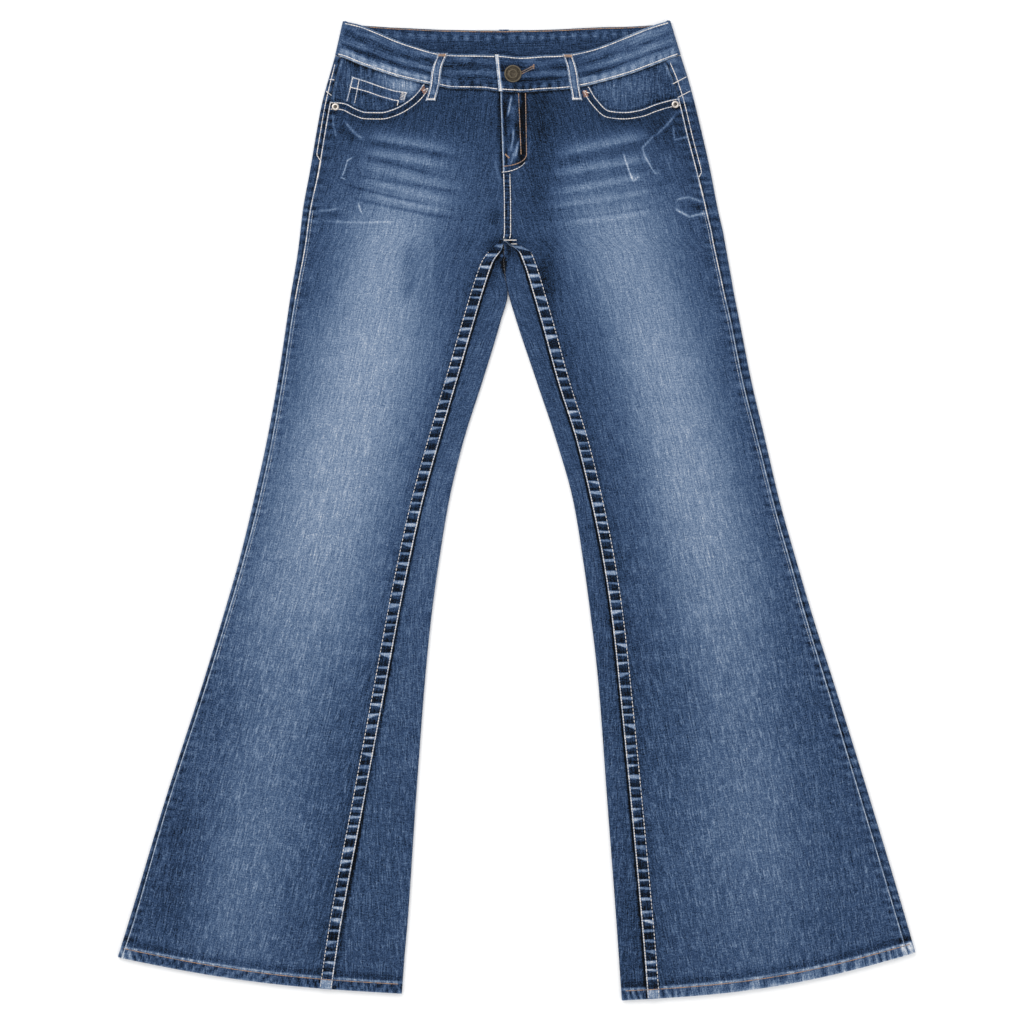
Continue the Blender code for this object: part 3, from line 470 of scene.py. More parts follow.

# Ridges along a seam or an edge: how far off it each one's crest is, how wide it is, the height
# and the wear, with any painted shade, that it adds, and how much more of both it has on the
# crest of a pucker.
RIDGE_COLUMNS = ("at", "width", "height", "wear_and_shade", "height_puckered", "wear_puckered")
IN_HEM = ((5.0, 5.0, 0.0, 0.0, 0.4, 0.0), (0.0, 1.5, 0.0, 0.35))
# The hem's top: a worn line along its edge, a band of painted shade above it, and a groove below.
HEM_LINE = ((HEM_DEPTH + 0.6, 1.2, 0.0, 0.7125, 0.0, 0.2375), (HEM_DEPTH + 5.5, 4.0, 0.0, -0.20),
            (HEM_DEPTH - 1.6, 1.0, -0.3, 0.0))
BY_OUTSEAM = ((1.3, 1.4, 0.4, 0.0), (4.6, 1.3, -0.2, 0.0), (4.5, 5.5, 0.0, -0.05, 0.0, 0.25))
BY_HIP_OUTSEAM = ((3.0, 9.0, 0.0, 0.0, 0.15, 0.0), (0.7, 1.1, 0.0, 0.585, 0.0, 0.315))
BY_LEG_OUTSEAM = ((3.0, 9.0, 0.0, 0.0, 0.35, 0.0), (0.7, 1.1, 0.0, 0.3575, 0.0, 0.1925))
# Beside the inseam on the front: puckers, and a broad painted shade along the raised seam.
BY_INSEAM = ((0.0, 7.0, 0.0, 0.0, 0.22, 0.09), (0.0, 11.0, 0.0, -0.12))
# Along the mouth: its turned edge, worn pale, a darker line between its rows, and a painted shade
# below the doubled band.
BY_MOUTH = ((0.0, 0.8, -0.3, 0.0), (0.0, 1.0, 0.0, 0.45), (4.8, 3.2, 0.0, -0.17),
            (MOUTH_BAND + 3.0, 2.0, 0.0, -0.10))
# Along the band's seam: a thin painted shadow just under the band, and puckers.
BY_BAND = ((0.0, 1.8, 0.0, -0.35), (0.0, 10.0, 0.0, 0.0, 0.3, 0.0), (0.0, 9.0, 0.0, 0.0, 0.0, 0.10))
# Along the centre front: on the right, the painted shadow of the fly's edge; on the left, the fly's
# edge worn white and a darker line inside it.
BY_CENTRE = {"right": ((-0.5, 2.6, 0.0, -0.35),),
             "left": ((0.5, 1.1, 0.0, 1.3), (4.5, 1.8, 0.0, -0.22))}
ON_FLY = ((6.5, 4.6, 0.0, -0.34),)   # between its two rows of stitches
BY_FLY = ((26.0, 17.0, 0.0, -0.15),)

# Soft patches, paler or darker than the cloth round them: on the facings they are worn, and at the
# crotch and on the left thigh they are painted shade.
PATCH_COLUMNS = ("x", "y", "half_x", "half_y", "wear_and_shade")
CROTCH_SHADE_PATCHES = ((-10.0, 289.0, 17.0, 13.0, -0.40), (-25.0, 274.0, 9.0, 22.0, -0.25))
THIGH_SHADE_PATCHES = {"right": (), "left": ((33.0, 262.0, 15.0, 40.0, -0.28),)}


def pile(y):
    """Height of the folds above the ground, more at the hip."""
    return mix(5.0, 6.0, ease((y - 330.0) / 100.0))


def front_height(leg, x, y):
    """Outer face of the upper layer, which sinks a little in the middle of a leg."""
    from_fold = np.minimum((x - leg.edge(y)) * leg.inward, (leg.inner(y) - x) * leg.inward)
    above_hem = y - mix(leg.hem_outer, leg.hem_inner, 0.5)
    slack = ease((CROTCH_Y - y) / 150.0) * ease((above_hem - 60.0) / 90.0)
    return pile(y) - slack * ease(from_fold / 30.0)


def creased(leg, x, y):
    """Height and wear that the creases add, with shade painted in the hollows and below the
    whiskers.
    """
    height, wear_and_shade = 0.0 * x, 0.0 * x
    for crease in leg.creases:
        run_x, run_y = crease["x1"] - crease["x0"], crease["y1"] - crease["y0"]
        length = math.hypot(run_x, run_y)
        t = ((x - crease["x0"]) * run_x + (y - crease["y0"]) * run_y) / length ** 2
        off = ((x - crease["x0"]) * run_y - (y - crease["y0"]) * run_x) / length
        off = off * (1 if run_x > 0 else -1) - 4 * crease["sag"] * t * (1 - t)
        off = off / crease["width"]
        along = ease(t / 0.25) * ease((1 - t) / 0.3)
        crest = along * peak(off, 1.0)
        height += crease["height"] * crest
        # A whisker ends sharply on its lower side, with a thin line of shade painted below it.
        if crease["width"] > THIN_CREASE and crease["wear_and_shade"] > 0.0:
            crest = crest * (1 - ease((off - 0.2) / 0.5)) - 0.12 * along * peak(off - 1.0, 0.4)
        wear_and_shade += crease["wear_and_shade"] * crest
    return np.stack((height, wear_and_shade))


def washed(leg, x, y):
    """Wear of the upper side of a leg before its seams are counted."""
    off = np.abs(x - leg.wash["centre"](y)) / leg.wash["half"](y)
    wear_and_shade = leg.wash["base"](y) + leg.wash["fade"](y) * np.exp(-off ** 2.6)
    wear_and_shade += 0.02 * mottle(x, y, 31.0, leg.seed + 3) + 0.015 * mottle(x, y, 11.0, leg.seed + 4)
    return wear_and_shade


def front_top(leg, x):
    """Upper edge of the front panel: the pocket mouth, then the waistband's seam."""
    return np.minimum(leg.mouth(x), band["front_seam"](x) - BAND_GAP)


def hem_form(leg, x, y):
    """Height and wear of the turned and roped hem, and of the cloth just above it, where a band of
    shade is painted.
    """
    above = y - leg.hem_y(leg.across(x, y))
    within = ease((HEM_DEPTH + 0.8 - above) / 1.6)
    from_edge = (x - leg.edge(y)) * leg.inward
    rope = pucker(x + 0.35 * above, ROPING_PITCH, leg.seed + 7)
    paler = HEM_PALER[leg.side] + 0.42 * rope + 0.5 * ease((HEM_CORNER - from_edge) / 3.0)
    form = within * ridges(IN_HEM, above, rope) + ridges(HEM_LINE, above, rope)
    return form + within * np.stack((0.35 + 0.0 * paler, paler))


def mouth_distance(leg, x, y):
    """How far a point of the front lies below its upper edge, square to the edge."""
    slope = (front_top(leg, x + 0.5) - front_top(leg, x - 0.5))
    return (front_top(leg, x) - y) / np.sqrt(1 + slope ** 2)


def fly_edge(y):
    """The outer line of the fly, which turns in at its foot."""
    turn = np.clip((FLY_TURN_Y - y) / (FLY_TURN_Y - FLY_FOOT_Y), 0.0, 1.0)
    return FLY_EDGE_X + (FLY_SIDE_X - FLY_EDGE_X) * np.sqrt(1 - turn ** 2)


def crotch_shade(x, y):
    """Painted shade where the four seams meet, and the dark of the opening that they leave, painted
    as shade, with a worn rim.
    """
    off = np.hypot((x - CROTCH_LOOP[0]) / 2.4, (y - CROTCH_LOOP[1]) / 4.6)
    opening = 0.55 * peak(off - 1.45, 0.4) - 0.6 * (1 - ease((off - 0.7) / 0.5))
    return patches(CROTCH_SHADE_PATCHES, x, y) + opening


def front_form(leg, x, y):
    """Height of the outer face of the front, and its wear, with the shade painted beside its raised
    seams and edges and at the crotch, at any point of it.
    """
    from_out = (x - leg.front_outseam(y)) * leg.inward
    from_in = (leg.inseam(y) - x) * leg.inward - INSEAM_HALF
    from_top = mouth_distance(leg, x, y)
    form = np.stack((front_height(leg, x, y), washed(leg, x, y))) + creased(leg, x, y)
    waves = 0.28 * mottle(x, y, 43.0, leg.seed) + 0.1 * mottle(x, y, 16.0, leg.seed + 1)
    form[0] += ease(from_out / 25.0) * ease(from_in / 25.0) * waves

    # The outseam's rolled edge, which the wash has bared, with its puckers.
    out_pucker = pucker(-y, OUTSEAM_PITCH, leg.seed + 5)
    form += ridges(BY_OUTSEAM, from_out, out_pucker)
    form += mix(ridges(BY_HIP_OUTSEAM, from_out, out_pucker),
                ridges(BY_LEG_OUTSEAM, from_out, out_pucker), ease((330.0 - y) / 120.0))

    # Puckers that the inseam's felling pulls into the cloth beside it, and the shade painted there.
    in_pucker = pucker(-y, INSEAM_PITCH, leg.seed + 6)
    form += ease((CROTCH_Y - y) / 20.0) * ridges(BY_INSEAM, from_in, in_pucker)

    # The doubled pocket mouth, with a painted shade below it, and the band's seam, with a painted
    # shadow just under the band.
    in_mouth = ease((leg.mouth_end - x) * leg.inward / 4.0)
    form[0] += MOUTH_RELIEF * in_mouth * ease((MOUTH_BAND + 1.0 - from_top) / 1.4)
    form += in_mouth * ridges(BY_MOUTH, from_top)
    seam_pucker = pucker(x, BAND_SEAM_PITCH, leg.seed + 8)
    form += (1 - in_mouth) * ridges(BY_BAND, from_top, seam_pucker) + hem_form(leg, x, y)

    # The fly on the wearer's left, whose free edge is worn white, and its shadow painted on the
    # right front beside it.
    above_foot = ease((y - FLY_FOOT_Y + 7.0) / 3.0)
    form += above_foot * ridges(BY_CENTRE[leg.side], x - leg.inseam(y))
    if leg is LEFT:
        inside = ease((fly_edge(y) - x) / 1.5) * ease((y - FLY_FOOT_Y) / 2.0)
        form += inside * ridges(ON_FLY, x) + ease((y - 300.0) / 30.0) * ridges(BY_FLY, x)
        form[0] += inside * (FLY_RELIEF + 0.3 * mottle(x, y, 9.0, 31))
        folds = np.maximum(mottle(x * 2.6, y, 11.0, 32), 0.0)
        form[1] += inside * (0.46 * folds ** 1.5 - 0.16)
    # Shade painted at the crotch and, on the left leg, on the thigh beside it.
    form[1] += crotch_shade(x, y) + patches(THIGH_SHADE_PATCHES[leg.side], x, y)
    return form


# Each sort of uneven yarn: its size across and along the warp, and how much it changes the wear.
# A line is the thin edge of a crinkle, and there are more of them down the leg.
YARNS = (("warp streak", 1.5, 19.0, 0.44), ("weft streak", 8.0, 1.4, 0.30),
         ("slub", 1.3, 60.0, 0.20), ("grain", 1.25, 1.25, 0.95), ("twill cell", 2.6, 3.0, 0.20),
         ("cloud", 24.0, 34.0, 0.06), ("warp line", 3.0, 24.0, 0.30), ("weft line", 9.0, 2.8, 0.18))
# Below 0 the stops darken to near black: painted shade in hollows and beside raised edges, and the
# darkest unworn dye.
DARKEST_SHADE = -0.35
WEAR_TOP = 1.6
FACE_STOPS = ((-0.35, "#020409"), (-0.2, "#08121f"), (0.0, "#1a2d47"), (0.15, "#273b59"),
              (0.33, "#374d6e"), (0.57, "#506684"), (0.95, "#7c8ea7"), (1.6, "#dbdee2"))
BACK_STOPS = ((0.0, "#6f86a6"), (0.5, "#93a5bd"), (1.0, "#b9c4d2"))


def washed_denim(name, stops, contrast):
    """Indigo twill, stone-washed: blue warp over white weft. The wash bares the weft, so the cloth
    goes from navy to pale blue, and uneven yarns leave short light and dark streaks both ways.
    The real twill, two lines to a millimetre, is drawn three times as coarse so that it shows."""
    material, tree, shader = new_material(name, {
        "Roughness": 0.9, "Specular IOR Level": 0.06, "Sheen Weight": 0.04,
        "Sheen Roughness": 0.6})
    grain = add_node(tree, "UVMap", {}, uv_map="grain")
    down = add_node(tree, "SeparateXYZ", {"Vector": grain}).outputs["Y"]
    crinkle = add_node(tree, "MapRange", {
        "Value": down, "From Min": 0.10, "From Max": 0.50, "To Min": 0.35})
    total = add_node(tree, "Attribute", {}, attribute_name="wear_and_shade").outputs["Fac"]
    relief = 0.0
    for label, across, along, strength in YARNS:
        scaled = add_node(tree, "Mapping", {
            "Vector": grain, "Scale": (1 / (across * MM), 1 / (along * MM), 1.0)}, label=label)
        noise = add_node(tree, "TexNoise", {
            "Vector": scaled, "Scale": 1.0, "Detail": 1.0, "Roughness": 0.5, "Distortion": 0.2},
            noise_dimensions="2D")
        yarn = add_node(tree, "Math", {0: noise, 1: 0.5}, operation="SUBTRACT")
        if label.endswith("line"):
            yarn = add_node(tree, "Math", {0: yarn}, operation="ABSOLUTE")
            yarn = add_node(tree, "MapRange", {
                "Value": yarn, "From Max": 0.07, "To Min": 0.75, "To Max": -0.25})
            yarn = add_node(tree, "Math", {0: yarn, 1: crinkle}, operation="MULTIPLY")
        total = add_node(tree, "Math", {0: yarn, 1: strength * contrast, 2: total},
                         operation="MULTIPLY_ADD")
        if label != "cloud":
            relief = add_node(tree, "Math", {0: yarn, 1: relief}, operation="ADD")
    share = add_node(tree, "MapRange", {
        "Value": total, "From Min": DARKEST_SHADE, "From Max": WEAR_TOP})
    ramp = add_node(tree, "ValToRGB", {"Fac": share}, [
        ((wear_and_shade - DARKEST_SHADE) / (WEAR_TOP - DARKEST_SHADE), colour) for wear_and_shade, colour in stops])
    bump = add_node(tree, "Bump", {"Height": relief, "Distance": 0.5 * MM, "Strength": 0.5})
    set_inputs(shader, {"Base Color": ramp, "Normal": bump})
    return material


denim = washed_denim("washed_indigo_twill", FACE_STOPS, 1.0)
wrong_side = washed_denim("twill_wrong_side_white_weft", BACK_STOPS, 0.6)


def apply_modifiers(item):
    deselect()
    item.select_set(True)
    bpy.context.view_layer.objects.active = item
    for modifier in list(item.modifiers):
        bpy.ops.object.modifier_apply(modifier=modifier.name)


CREASE_CUTS = 4                  # of each edge beside a thin crease


def sharpen_creases(mesh, leg):
    """Split the faces of a front beside its thin creases, and shape them and colour them anew, with
    their wear and painted shade.
    """
    builder = bmesh.new()
    builder.from_mesh(mesh)
    builder.faces.ensure_lookup_table()
    centres = np.array([face.calc_center_median()[:2] for face in builder.faces]) / MM
    near = np.zeros(len(centres), bool)
    for crease in leg.creases:
        if crease["width"] <= THIN_CREASE:
            start = np.array((crease["x0"], crease["y0"]))
            run = np.array((crease["x1"], crease["y1"])) - start
            t = np.clip((centres - start) @ run / (run @ run), 0.0, 1.0)
            off = np.linalg.norm(centres - start - t[:, None] * run, axis=1)
            near |= off < 2 * crease["width"] + crease["sag"] + 1.5
    edges = {edge for k in np.flatnonzero(near) for edge in builder.faces[k].edges}
    bmesh.ops.subdivide_edges(builder, edges=list(edges), cuts=CREASE_CUTS, use_grid_fill=True)
    builder.to_mesh(mesh)
    builder.free()
    place = np.empty(3 * len(mesh.vertices))
    mesh.vertices.foreach_get("co", place)
    place = place.reshape(-1, 3)
    height, wear_and_shade = front_form(leg, place[:, 0] / MM, place[:, 1] / MM)
    place[:, 2] = height * MM
    mesh.vertices.foreach_set("co", place.ravel())
    mesh.attributes["wear_and_shade"].data.foreach_set("value", wear_and_shade)


def cloth(name, points, wear_and_shade, grain, thickness, materials, cut=False, leg=None):
    """A thin shell of cloth from a grid (rows, columns, 3) of its outer face. A cell with a nan
    corner, or marked in cut, is left out, grain is each point's place in the weave, and the
    first of the two materials faces out. A front is given its leg, for its creases."""
    count = points.shape[0] * points.shape[1]
    index = np.arange(count).reshape(points.shape[:2])
    corners = np.stack((index[:-1, :-1], index[1:, :-1], index[1:, 1:], index[:-1, 1:]), -1)
    corners = corners.reshape(-1, 4)
    flat = points.reshape(-1, 3)
    left_out = np.isnan(flat[corners, 0]).any(axis=1) | np.ravel(cut)
    faces = corners[~left_out]
    used, faces = np.unique(faces, return_inverse=True)
    faces = faces.reshape(-1, 4)
    mesh = bpy.data.meshes.new(name)
    mesh.from_pydata((flat[used] * MM).tolist(), [], faces.tolist())
    corner_points = np.empty(len(mesh.loops), int)
    mesh.loops.foreach_get("vertex_index", corner_points)
    weave = grain.reshape(-1, 2)[used] * MM
    mesh.uv_layers.new(name="grain").data.foreach_set("uv", weave[corner_points].ravel())
    # Each point's wear, less the shade painted in hollows and beside raised edges.
    attribute = mesh.attributes.new("wear_and_shade", "FLOAT", "POINT")
    attribute.data.foreach_set("value", np.broadcast_to(wear_and_shade, points.shape[:2]).ravel()[used])
    if leg:
        sharpen_creases(mesh, leg)
    for material in materials:
        mesh.materials.append(material)
    item = bpy.data.objects.new(name, mesh)
    bpy.context.scene.collection.objects.link(item)
    solid = item.modifiers.new("Thickness", "SOLIDIFY")
    solid.thickness = thickness * MM
    solid.offset = -1.0
    solid.material_offset = len(materials) - 1
    apply_modifiers(item)
    item.data.shade_smooth()
    item.data.set_sharp_from_angle(angle=math.radians(60))
    return item


def grain_grid(points, middle, along):
    """Place of each point in the weave: its distance along the row from the middle column, and
    along, the row's place down the grain."""
    steps = np.linalg.norm(np.diff(points, axis=1), axis=2)
    run = np.concatenate((np.zeros((len(points), 1)), np.cumsum(steps, axis=1)), axis=1)
    return np.stack((run - run[:, middle:middle + 1], np.broadcast_to(along, run.shape)), -1)


def fix(item, node):
    """Hang a piece on the root body, and hide the imported part that it stands for."""
    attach(item, "root")
    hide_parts(node)


def fasten(item, slot, node, flat, area, rests_on):
    """Fix a piece of cloth. Its slot, its cut (flat and area) and what it rests on are not used."""
    fix(item, node)


def plain_cloth(name, x, y, height, wear_and_shade, thickness, materials):
    """Cloth whose straight grain runs down the picture."""
    points = np.stack((x, y, height), -1)
    return cloth(name, points, wear_and_shade, points[..., :2], thickness, materials)


def leg_cloth(name, leg, points, wear_and_shade, grain, thickness, materials, is_front=False):
    """Cloth from grids that run from a leg's outer fold inward. The left one is turned round, so
    that it isn't inside out."""
    if leg is LEFT:
        points, wear_and_shade, grain = points[:, ::-1], wear_and_shade[:, ::-1], grain[:, ::-1]
    return cloth(name, points, wear_and_shade, grain, thickness, materials, leg=leg if is_front else None)


FRONT_COLUMNS = 66
GRAIN_COLUMN = 32                # the one that follows the straight grain
TOP_ROWS = 36
TOP_FOOT_Y = 377.0               # where the rows that follow the pocket's mouth end
HIP_ROWS = 38
HEM_FINE = 22.0                  # the rows are closer together in the hem
ROW_STEP = 2.9
HEM_STEP = 1.2
LEG_LEVELS = np.concatenate((np.arange(0.0, LEG_LENGTH - HEM_FINE, ROW_STEP),
                             np.arange(LEG_LENGTH - HEM_FINE, LEG_LENGTH, HEM_STEP),
                             [LEG_LENGTH])) / LEG_LENGTH


def front_grid(leg):
    """Points across and down a front panel, closer together beside its seams."""
    u = np.linspace(0.0, 1.0, FRONT_COLUMNS)
    spread = mix(u, 0.5 - 0.5 * np.cos(np.pi * u), 0.72)

    def line(y):
        return mix(leg.front_outseam(y), leg.inseam(y) - leg.inward * SEAM_GAP / 2, spread)
    down = (np.linspace(0.0, 1.0, TOP_ROWS) ** 1.3)[:, None]
    y = np.full((TOP_ROWS, FRONT_COLUMNS), 420.0)    # a first guess
    for _ in range(12):
        y = mix(front_top(leg, line(y)), TOP_FOOT_Y, down)
    hip = np.linspace(TOP_FOOT_Y, CROTCH_Y, HIP_ROWS)[1:-1, None] * np.ones(FRONT_COLUMNS)
    legs = leg.row_y(LEG_LEVELS[:, None], line)
    y = np.concatenate((y, hip, legs))
    above = CROTCH_Y - y[:TOP_ROWS + HIP_ROWS - 2, GRAIN_COLUMN]
    along = np.concatenate((above, LEG_LEVELS * LEG_LENGTH))
    return line(y), y, along[:, None]


FRONT_CUT = {"right": ((0.26, 1.03), 0.190), "left": ((0.28, 1.03), 0.221)}
HIP_SLANT = 0.16                 # the straight grain crosses the hip's columns at this slope
for leg in LEGS:
    x, y, along = front_grid(leg)
    height, wear_and_shade = front_form(leg, x, y)
    points = np.stack((x, y, height), -1)
    grain = grain_grid(points, GRAIN_COLUMN, along)
    grain[..., 0] -= HIP_SLANT * np.maximum(y - CROTCH_Y, 0.0)
    panel = leg_cloth("front_" + leg.side, leg, points, wear_and_shade, grain, DENIM, (denim, wrong_side),
                      is_front=True)
    fasten(panel, "denim", "front_panel_" + leg.side, *FRONT_CUT[leg.side],
           "back_panel_" + leg.side)


# ---- Pocket facings and coin pocket ----------------------------------------------------------
# The cloth that shows inside each pocket mouth, sewn below the band and into the outseam. The
# right one carries the coin pocket, a doubled patch with a wide hem along its top.

FACING_TOP = 4.3
FACING_RISE = 0.7
FACING_BELOW_MOUTH = 18.0
FACING_PAST_MOUTH = 12.0         # on its inner side
FACING_ROWS = 26
FACING_COLUMNS = 54
FACING_PATCHES = {"right": ((-126.0, 468.0, 13.0, 13.0, 0.68), (-112.0, 466.0, 8.0, 8.0, 0.50),
                            (-146.0, 474.0, 8.0, 8.0, 0.25), (-171.0, 478.0, 8.0, 8.0, 0.18)),
                  "left": ((92.0, 465.0, 7.0, 7.0, 0.20), (120.0, 474.0, 7.0, 7.0, 0.15))}
# Below the band: puckers, and a thin painted shadow just under the band.
FACING_BY_BAND = ((0.0, 8.0, 0.0, 0.0, 0.2, 0.0), (0.0, 9.0, 0.0, 0.0, 0.0, 0.18),
                  (0.0, 2.0, 0.0, -0.35))
FACING_BY_OUTSEAM = ((1.5, 1.2, 0.0, 0.5),)
COIN_TOP = ((-181.0, 477.3), (-165.0, 472.3), (-149.0, 466.4), (-133.0, 461.6), (-119.5, 459.8))
COIN_FOOT_X = (-188.0, -170.0, -153.0, -137.0, -123.5)
COIN_HEM = 11.0
COIN_CLOTH = 1.0
COIN_BY_TOP = ((0.0, 1.4, 0.0, 0.55), (COIN_HEM, 1.2, 0.0, 0.35), (COIN_HEM + 3.5, 2.0, 0.0, -0.14))
COIN_BY_SIDE = ((0.0, 1.0, -0.3, 0.0), (0.0, 1.4, 0.0, 0.50))
COIN_ROWS = 18
COIN_COLUMNS = 30


def facing_edges(leg, x):
    """Lower and upper edge of the facing."""
    top = band["front_seam"](x) - BAND_GAP
    return np.minimum(leg.mouth(x), top) - FACING_BELOW_MOUTH, top


def facing_form(leg, x, y):
    low, top = facing_edges(leg, x)
    rise = FACING_RISE * ease(((leg.mouth_end - x) * leg.inward - 5.0) / 25.0)
    folds = mottle(x * 0.8 + y * 0.5, y, 15.0, leg.seed + 20)
    from_out = (x - leg.front_outseam(y)) * leg.inward
    form = ridges(FACING_BY_BAND, top - y, pucker(x, 9.0, leg.seed + 21))
    form += ridges(FACING_BY_OUTSEAM, from_out)
    form[0] += FACING_TOP + rise * (y - low) / (top - low) + 0.12 * folds
    form[1] += 0.22 + 0.20 * folds - 0.16 * ease((40.0 - from_out) / 30.0)
    # A shadow of the front's mouth edge, painted onto the facing along it.
    form[1] -= 0.16 * ease((leg.mouth(x) + 6.0 - y) / 6.0)
    form[1] += patches(FACING_PATCHES[leg.side], x, y)
    return form


for leg in LEGS:
    inner_end = leg.mouth_end + leg.inward * FACING_PAST_MOUTH
    across = np.linspace(0.0, 1.0, FACING_COLUMNS)[None, :]
    down = np.linspace(1.0, 0.0, FACING_ROWS)[:, None]
    y = np.full((FACING_ROWS, FACING_COLUMNS), 470.0)    # a first guess
    for _ in range(12):
        x = mix(leg.front_outseam(y) + leg.inward * 0.3, inner_end, across)
        y = mix(*facing_edges(leg, x), down)
    height, wear_and_shade = facing_form(leg, x, y)
    points = np.stack((x, y, height), -1)
    facing = leg_cloth("facing_" + leg.side, leg, points, wear_and_shade, points[..., :2], DENIM,
                       (denim, wrong_side))
    fasten(facing, "denim", "pocket_facing_" + leg.side, (0.13, 0.06), 0.0055,
           "back_panel_" + leg.side)


def coin_point(across, down):
    """A point of the coin pocket, whose sides lean out a little; its foot is in the pocket."""
    stops = np.linspace(0.0, 1.0, len(COIN_TOP))
    top_x = np.interp(across, stops, [p[0] for p in COIN_TOP])
    top_y = np.interp(across, stops, [p[1] for p in COIN_TOP])
    x = mix(top_x, np.interp(across, stops, COIN_FOOT_X), down)
    return x, mix(top_y, RIGHT.mouth(x) + 1.6, down)


def coin_form(x, y, across, down):
    drop = coin_point(across, 0.0 * down)[1] - y
    side = np.minimum(across, 1 - across) * 60.0
    form = ridges(COIN_BY_TOP, drop) + ridges(COIN_BY_SIDE, side)
    form[0] += facing_form(RIGHT, x, y)[0] + SEAM_GAP + COIN_CLOTH
    form[0] += 0.35 * ease((COIN_HEM - drop) / 1.5) + 0.12 * mottle(x, y, 9.0, 41)
    form[1] += 0.14 + 0.10 * mottle(x, y, 12.0, 42) + 0.10 * ease((COIN_HEM - drop) / 2.0)
    return form


across, down = np.meshgrid(np.linspace(0, 1, COIN_COLUMNS), np.linspace(0, 1, COIN_ROWS))
x, y = coin_point(across, down)
height, wear_and_shade = coin_form(x, y, across, down)
coin_pocket = plain_cloth("coin_patch", x, y, height, wear_and_shade, COIN_CLOTH, (denim, wrong_side))
fasten(coin_pocket, "denim", "coin_pocket", (0.068, 0.033), 0.0016, "pocket_facing_right")


# ---- Back panels and yokes -------------------------------------------------------------------
# The backs are cut wider than the fronts, so they wrap round both folds of the flat leg and
# show as strips beside the outseam and the inseam. A yoke, falling to the centre, tops each.

STRIP = np.linspace(0.0, 1.0, 10)[:-1]
FOLD = np.linspace(0.0, 1.0, 7)
UNDER = np.linspace(0.0, 1.0, 47)[1:]
INNER_STRIP = np.linspace(0.0, 1.0, 19)[1:]
BACK_LINES = ([("strip", t) for t in STRIP] + [("outer fold", t) for t in FOLD]
              + [("under", t) for t in UNDER] + [("inner fold", t) for t in FOLD[-2::-1]]
              + [("inner strip", t) for t in INNER_STRIP])
UNDER_MIDDLE = len(STRIP) + len(FOLD) + len(UNDER) // 2
CENTRE_X = -14.0
LOOP_WIDTH = 11.0
YOKE_SIDE_Y = {"right": 468.0, "left": 473.0}
YOKE_CENTRE_Y = 432.0
POCKET_COLUMNS = ("x", "top", "drop", "point", "top_half", "low_half")
BACK_POCKETS = {
    "right": dict(zip(POCKET_COLUMNS, (-119.0, 428.0, 112.0, 20.0, 63.0, 55.0))),
    "left": dict(zip(POCKET_COLUMNS, (91.0, 428.0, 112.0, 20.0, 63.0, 55.0))),
}
HIP_SIDE_PALER = {"right": 0.08, "left": 0.20}
STRIP_LEVELS = (-540.0, -430.0, -300.0, -120.0, -10.0, 100.0)
STRIP_SHADE = {"right": (0.0, 0.0, 0.0, 0.0, 0.09, 0.0),
               "left": (-0.13, -0.13, -0.02, -0.08, 0.0, 0.0)}
BACK_LOOPS = {"back_right": -112.0, "centre_back": CENTRE_X, "back_left": 84.0}
BACK_LOOP_TOP = 529.0
BACK_LOOP_END = 480.0
YOKE_DOWN = np.linspace(0.0, 1.0, 20)
YOKE_LENGTH = 55.0
BACK_TOP_Y = 450.0
HIP_DOWN = np.linspace(0.0, 1.0, 52)
SEAT_DOWN = np.linspace(HIP_END_Y, CROTCH_Y, 7)[1:-1]


def under_lift(x, y):
    """How far the back cloth is held off the ground by the pockets and loops below it."""
    lift = 0.0 * x
    for pocket in BACK_POCKETS.values():
        half_drop = (pocket["drop"] + pocket["point"]) / 2
        beyond_x = np.abs(x - pocket["x"]) - pocket["top_half"] - 14.0
        beyond_y = np.abs(y - pocket["top"] + half_drop) - half_drop - 28.0
        lift = np.maximum(lift, 1.0 - ease(np.maximum(beyond_x, beyond_y) / 22.0))
    for loop_x in BACK_LOOPS.values():
        beyond_x = np.abs(x - loop_x) - LOOP_WIDTH / 2 - 11.0
        beyond_y = BACK_LOOP_END - 21.0 - y
        lift = np.maximum(lift, 1.0 - ease(np.maximum(beyond_x, beyond_y) / 15.0))
    return lift * (DENIM + SEAM_GAP)


def yoke_seam(leg, kind, x):
    """The seam between yoke and back panel: level at the side, falling to the centre back."""
    side_y = YOKE_SIDE_Y[leg.side]
    if kind != "under":
        return side_y + 0.0 * x
    side_x = leg.edge(side_y)
    return mix(side_y, YOKE_CENTRE_Y, np.clip((x - side_x) / (CENTRE_X - side_x), 0.0, 1.0))


def band_edge(kind, x):
    """Lower edge of the waistband above the back cloth."""
    if kind == "under":
        return band["back_seam"](x)
    return np.minimum(band["front_seam"](x), 500.0) if kind == "strip" else 500.0 + 0.0 * x


def back_line(leg, hip, kind, t, y):
    """x of a line of the back's cloth; over the hip, the underside goes on to the centre."""
    tangent = leg.width(y) - pile(y) / 2
    if kind == "strip":
        return leg.x(mix(leg.outseam(y) - SEAM_GAP / 2, pile(y) / 2, t), y)
    if kind == "under":
        return leg.x(mix(pile(y) / 2, leg.width(y) if hip else tangent, t), y)
    if kind == "inner strip":
        return mix(leg.x(tangent, y), leg.inseam(y) + leg.inward * SEAM_GAP / 2, t)
    return leg.edge(y) if kind == "outer fold" else leg.inner(y)


